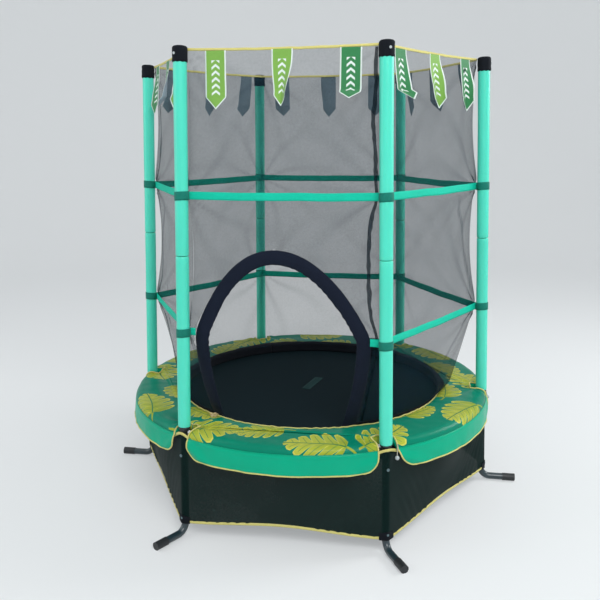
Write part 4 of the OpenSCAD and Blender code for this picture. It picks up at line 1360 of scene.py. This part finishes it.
def flapPoint(i, s, v, out=0.0):
    # s from 0 to 1 between two notches, v from the crease down
    z = mix(pad["creaseZ"], pad["flapLow"], v)
    h = z - pad["flapLow"]
    R = pad["cornerR"]
    widen = R - math.sqrt(max(0, R * R - (R - h) ** 2)) if h < R else 0.0
    r = pad["faceR"] + 0.0006 + pad["flare"] * v
    starts, ends = (widen + v * pad["spread"].get((i, end), pad["spreadElse"]) for end in (0, 1))
    a0 = poleAngle(i)
    a = mix(a0 + notchAngle(r, starts), a0 + 2 * halfPanel - notchAngle(r, ends), s)
    wave = 0.0045 * ripple(a * 7.5, 1.1) + 0.0026 * ripple(a * 19, 3.3, v * 1.2)
    long = 2 * halfPanel * r
    crumple = 0.0
    for end, x in ((0, s * long), (1, (1 - s) * long)):
        # slanting folds that start at the notch and die out along the flap
        strong = 0.0050 if (i, end) == (0, 0) else 0.0030
        slant = v * 5.2 - x * 42 + 2 * ripple(i * 3 + end, x * 9)
        crumple += strong * math.exp(-x / 0.075) * math.sin(slant) * smooth(v / 0.2)
    bend = pad["belly"] * math.sin(math.pi * v) + 0.0012 * math.exp(-((v - 0.13) / 0.07) ** 2)
    return polar(r + v * wave + crumple + bend + out, a, z + 0.0006 * ripple(a * 30, 5) * (1 - v))


def makeFlap():
    bm = bmesh.new()
    for i in range(6):
        gridInto(bm, 120, 16, lambda u, v: flapPoint(i, u, 1 - v), (0.66, 0.09))
    piece = finishPiece("padFlap", bm, paints["plainVinyl"])
    thicken(piece, 0.0014, -1)
    bm = bmesh.new()
    for i in range(6):
        points = [flapPoint(i, k / 90, 0.0, 0.0004) + Vector((0, 0, 0.0004)) for k in range(91)]
        sweepInto(bm, points, 0.0011, sides=8)
    finishPiece("padWelt", outward(bm), paints["plainVinyl"])


def notchPiping(i, side):
    # on top along a notch's side, from its inner end over the shoulder to the crease
    radii = [mix(pad["notchIn"] + 0.003, pad["shoulderR"], k / 8) for k in range(9)]
    line = [(r, padTop(r) + 0.0012) for r in radii]
    line += [shoulder(a, 0.0008) for a in range(75, 14, -15)]
    points = []
    for r, z in line:
        a = poleAngle(i) + side * notchAngle(r, 0.0006)
        points.append(polar(r, a, z + padPucker(r, a, padLift(z))))
    return points


def makePiping():
    # one cord runs round every flap and notch
    bm = bmesh.new()
    thick = pad["piping"] / 2
    points = []
    for i in range(6):
        points += notchPiping(i, 1)
        points += [flapPoint(i, 0, k / 26) for k in range(1, 27)]
        points += [flapPoint(i, k / 110, 1) for k in range(1, 110)]
        points += [flapPoint(i, 1, k / 26) for k in range(26, 0, -1)]
        points += list(reversed(notchPiping(i + 1, -1)))
        r = pad["notchIn"] - 0.001
        across = [poleAngle(i + 1) + notchAngle(r, -0.004) * k / 4 for k in range(-4, 5)]
        points += [polar(r, a, padTop(r) + 0.0012 + padPucker(r, a, 1)) for a in across]
    points = resample(points + points[:1], pad["pipeSteps"])[:-1]

    def leaning(v):
        p = points[int(round(v * len(points))) % len(points)]
        return polar(1, math.atan2(p.y, p.x), 1).normalized()

    sweepInto(bm, points, lambda v: thick * 0.82 + 0.0002 * ripple(v * 540, 3), sides=10, closed=True,
              up=leaning)
    ring = []
    t = (pad["high"] - pad["low"]) / 2
    lift = t + thick * 0.8
    r = pad["innerR"] + t + lift * math.cos(math.radians(128))
    z = (pad["high"] + pad["low"]) / 2 + lift * math.sin(math.radians(128))
    for k in range(pad["innerSteps"]):
        a = 2 * math.pi * k / pad["innerSteps"]
        ring.append(polar(r, a, z + padPucker(pad["innerR"] + 0.004, a, 0.8)))
    sweepInto(bm, ring, thick * 0.72, sides=10, closed=True)
    finishPiece("padPiping", outward(bm), paints["tape"])


def makeKnot():
    # the end of the net's lacing, knotted on the pad by the doorway's left foot
    bm = bmesh.new()
    spot = Vector(pad["knot"])
    loops = []
    for k in range(96):
        t = 2 * math.pi * k / 96
        loops.append(spot + Vector((0.0065 * (math.sin(t) + 0.8 * math.sin(2 * t)),
                                    0.0060 * (math.cos(t) - 0.8 * math.cos(2 * t)),
                                    0.007 - 0.0050 * math.sin(3 * t))))
    sweepInto(bm, loops, 0.0030, sides=8, closed=True, up=Vector((0.31, 0.2, 0.93)))
    tail = [spot + Vector((0.020 * k / 12 - 0.002, 0.001 + 0.010 * math.sin(k / 5) + 0.012 * k / 12,
                           0.003 + 0.002 * math.sin(k))) for k in range(13)]
    sweepInto(bm, tail, 0.0022, sides=8)
    finishPiece("laceKnot", outward(bm), paints["lace"])


makePadBody()
makeFlap()
makePiping()
makeKnot()
print("pad made")

# ---- skirt
skirt = dict(lowZ=0.058, arch=0.018, top=0.3355, poleLift=(0.0265, 0.0145, 0.0145, 0.0145, 0.0145, 0.0145),
             liftReach=0.060, wrap=0.01405, hoopTop=0.6578, thick=0.0012, rows=22, perPanel=60, crowd=0.62,
             tall=0.27, cornerR=0.68, cornerHalf=0.026, tapeWide=0.010, tapeThick=0.0028, even=14)


def offLeg(a):
    step = 2 * halfPanel
    return abs(((a + math.pi + halfPanel) % step + step) % step - halfPanel)


def skirtLow(a):
    return skirt["lowZ"] + skirt["arch"] * math.sin(3 * offLeg(a)) ** 2


def skirtTop(a):
    # the cloth is drawn up at every leg, in the pad's notch
    lift = skirt["poleLift"][round((a - poleAngle(0)) / (2 * halfPanel)) % 6]
    return skirt["top"] + lift * (1 - smooth(offLeg(a) * layout["railR"] / skirt["liftReach"]))


def hoopR(z):
    low = poleR(skirt["lowZ"]) * math.cos(halfPanel) + skirt["wrap"]
    return mix(low, skirt["hoopTop"], (z - skirt["lowZ"]) / (skirt["top"] - skirt["lowZ"]))


def skirtR(a, z):
    best = 9.0
    for k in range(-12, 13):
        d = math.radians(3 * k)
        reach = max(hoopR(z), poleR(z) * math.cos(offLeg(a + d)) + skirt["wrap"])
        best = min(best, reach / math.cos(d))
    return best


def skirtPoint(a, share, out=0.0):
    low = skirtLow(a)
    z = mix(low, skirtTop(a), share)
    off = offLeg(a) / halfPanel
    # soft tension folds that run from the bottom corners up into each panel; the taped edge is taut
    free = smooth(share / 0.2)
    wave = math.sin(share * 9 + off * 7 + 4 * ripple(a * 2, share * 2))
    pull = smooth(off / 0.15) * (1 - share) * 0.0022 * wave
    slack = smooth(off / 0.25) * 0.003 * ripple(a * 6, share * 1.4, 2.7)
    return polar(skirtR(a, z) + skirt["thick"] / 2 + out + free * (pull + slack), a, z)


def skirtAngle(u):
    # columns crowd together where the cloth turns round a leg
    i = math.floor(u * 6 + 1e-9)
    s = 2 * (u * 6 - i) - 1
    s = 0.5 + 0.5 * math.copysign(abs(s) ** skirt["crowd"], s)
    return poleAngle(0) + (i + s) * 2 * halfPanel


def makeSkirt():
    bm = bmesh.new()
    gridInto(bm, 6 * skirt["perPanel"], skirt["rows"], lambda u, v: skirtPoint(skirtAngle(u), v),
             (4.05, skirt["tall"]), weld=True)
    piece = finishPiece("skirtCloth", bm, paints["skirtNet"])
    paintFold(piece, [0.0] * len(piece.data.vertices))
    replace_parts(piece, "skirt")


def bandPoints(share, lift, gap):
    # one run of tape per panel, stopping short of the leg by a gap in metres
    cut = gap / skirt["cornerR"]
    turns = [mix(cut, 2 * halfPanel - cut, 0.5 - 0.5 * math.cos(math.pi * k / 70)) for k in range(71)]
    for i in range(6):
        points = [skirtPoint(poleAngle(i) + turn, share) + Vector((0, 0, lift)) for turn in turns]
        yield evened(points, skirt["even"])


def makeSkirtTapes():
    bm = bmesh.new()
    for points in bandPoints(0.0, -0.004, 0.020):
        sweepInto(bm, points, skirt["tapeThick"] / 2, skirt["tapeWide"] / 2, sides=10)
    count = 6 * skirt["perPanel"]
    ring = []
    for k in range(count):
        a = skirtAngle(k / count)
        ring.append(skirtPoint(a, 1.0) + Vector((0, 0, 0.005 + 0.001 * ripple(a * 9, 2))))
    sweepInto(bm, ring, skirt["tapeThick"] / 2, skirt["tapeWide"] / 2, sides=10, closed=True)
    piece = finishPiece("skirtTapes", outward(bm), paints["tape"])
    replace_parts(piece, "skirt_binding")
    bm = bmesh.new()
    for i in range(6):
        def place(u, v):
            a = poleAngle(i) + (2 * u - 1) * skirt["cornerHalf"] / skirt["cornerR"]
            z = skirtLow(a) - 0.0105 + v * (0.030 - 0.006 * abs(2 * u - 1))
            zz = max(z, skirt["lowZ"])
            return polar(skirtR(a, zz) + skirt["thick"] + 0.0011 + 0.0004 * ripple(u * 5 + i, v * 3), a, z)
        gridInto(bm, 24, 10, place, (0.05, 0.03))
    corners = finishPiece("skirtCorners", bm, paints["blackCloth"])
    thicken(corners, 0.0016, 0)


makeSkirt()
makeSkirtTapes()
print("skirt made")


# ---- floor, backdrop and light
studio = dict(floor=(0.80, 0.82, 0.83), flatR=5.0, bendR=2.6, wallZ=6.5, pale=(0.93, 0.96, 0.98),
              paleShare=0.4, back=0.9, world=0.50, sky=(0.95, 0.98, 1.0), aim=(0, 0, 0.7),
              # lamps: power, size and place
              lamps=dict(key=(120, 2.4, (1.4, -3.4, 3.6)), fill=(36, 3.0, (-3.4, -1.2, 2.2)),
                         rim=(60, 1.4, (3.3, 1.0, 2.4))))


def showPale(tree, kind, usual, share, target):
    # what the eye, gloss and glass see of the backdrop is paler than what lights the object
    path = put(tree, "LightPath").outputs
    seen = Term(tree, path["Is Camera Ray"])
    for ray in ("Is Glossy Ray", "Is Transmission Ray"):
        seen = seen.do("MAXIMUM", path[ray])
    pale = put(tree, kind, Strength=studio["back"], Color=(*studio["pale"], 1))
    both = put(tree, "MixShader", Fac=seen * share)
    tree.links.new(usual.outputs[0], both.inputs[1])
    tree.links.new(pale.outputs[0], both.inputs[2])
    tree.links.new(both.outputs[0], tree.nodes[target].inputs["Surface"])


def makeFloor():
    # a round studio: flat floor, a wide sweep up, and a wall, open above
    arc = [math.radians(a) for a in range(0, 91, 6)]
    flat, bend = studio["flatR"], studio["bendR"]
    sweep = [(flat + bend * math.sin(a), bend * (1 - math.cos(a))) for a in arc]
    bm = bmesh.new()
    spinInto(bm, [(0, 0)] + sweep + [(flat + bend, studio["wallZ"])], steps=96)
    material, tree, surface = newMaterial("floorPaint", Roughness=0.9, Specular_IOR_Level=0.2,
                                          Base_Color=(*studio["floor"], 1))
    showPale(tree, "Emission", surface, studio["paleShare"], "Material Output")
    finishPiece("floor", bm, material, None)


def makeStudio():
    world = bpy.data.worlds.new("studio")
    bpy.context.scene.world = world
    world.use_nodes = True
    light = world.node_tree.nodes["Background"]
    light.inputs["Color"].default_value = (*studio["sky"], 1)
    light.inputs["Strength"].default_value = studio["world"]
    showPale(world.node_tree, "Background", light, 1.0, "World Output")
    for name, (power, size, place) in studio["lamps"].items():
        lamp = bpy.data.lights.new(name, "AREA")
        lamp.energy = power
        lamp.size = size
        holder = bpy.data.objects.new(name, lamp)
        holder.location = place
        holder.rotation_euler = (Vector(studio["aim"]) - Vector(place)).to_track_quat("-Z", "Y").to_euler()
        bpy.context.collection.objects.link(holder)
    bpy.context.scene.view_settings.view_transform = "Standard"


makeFloor()
makeStudio()
print("studio set")
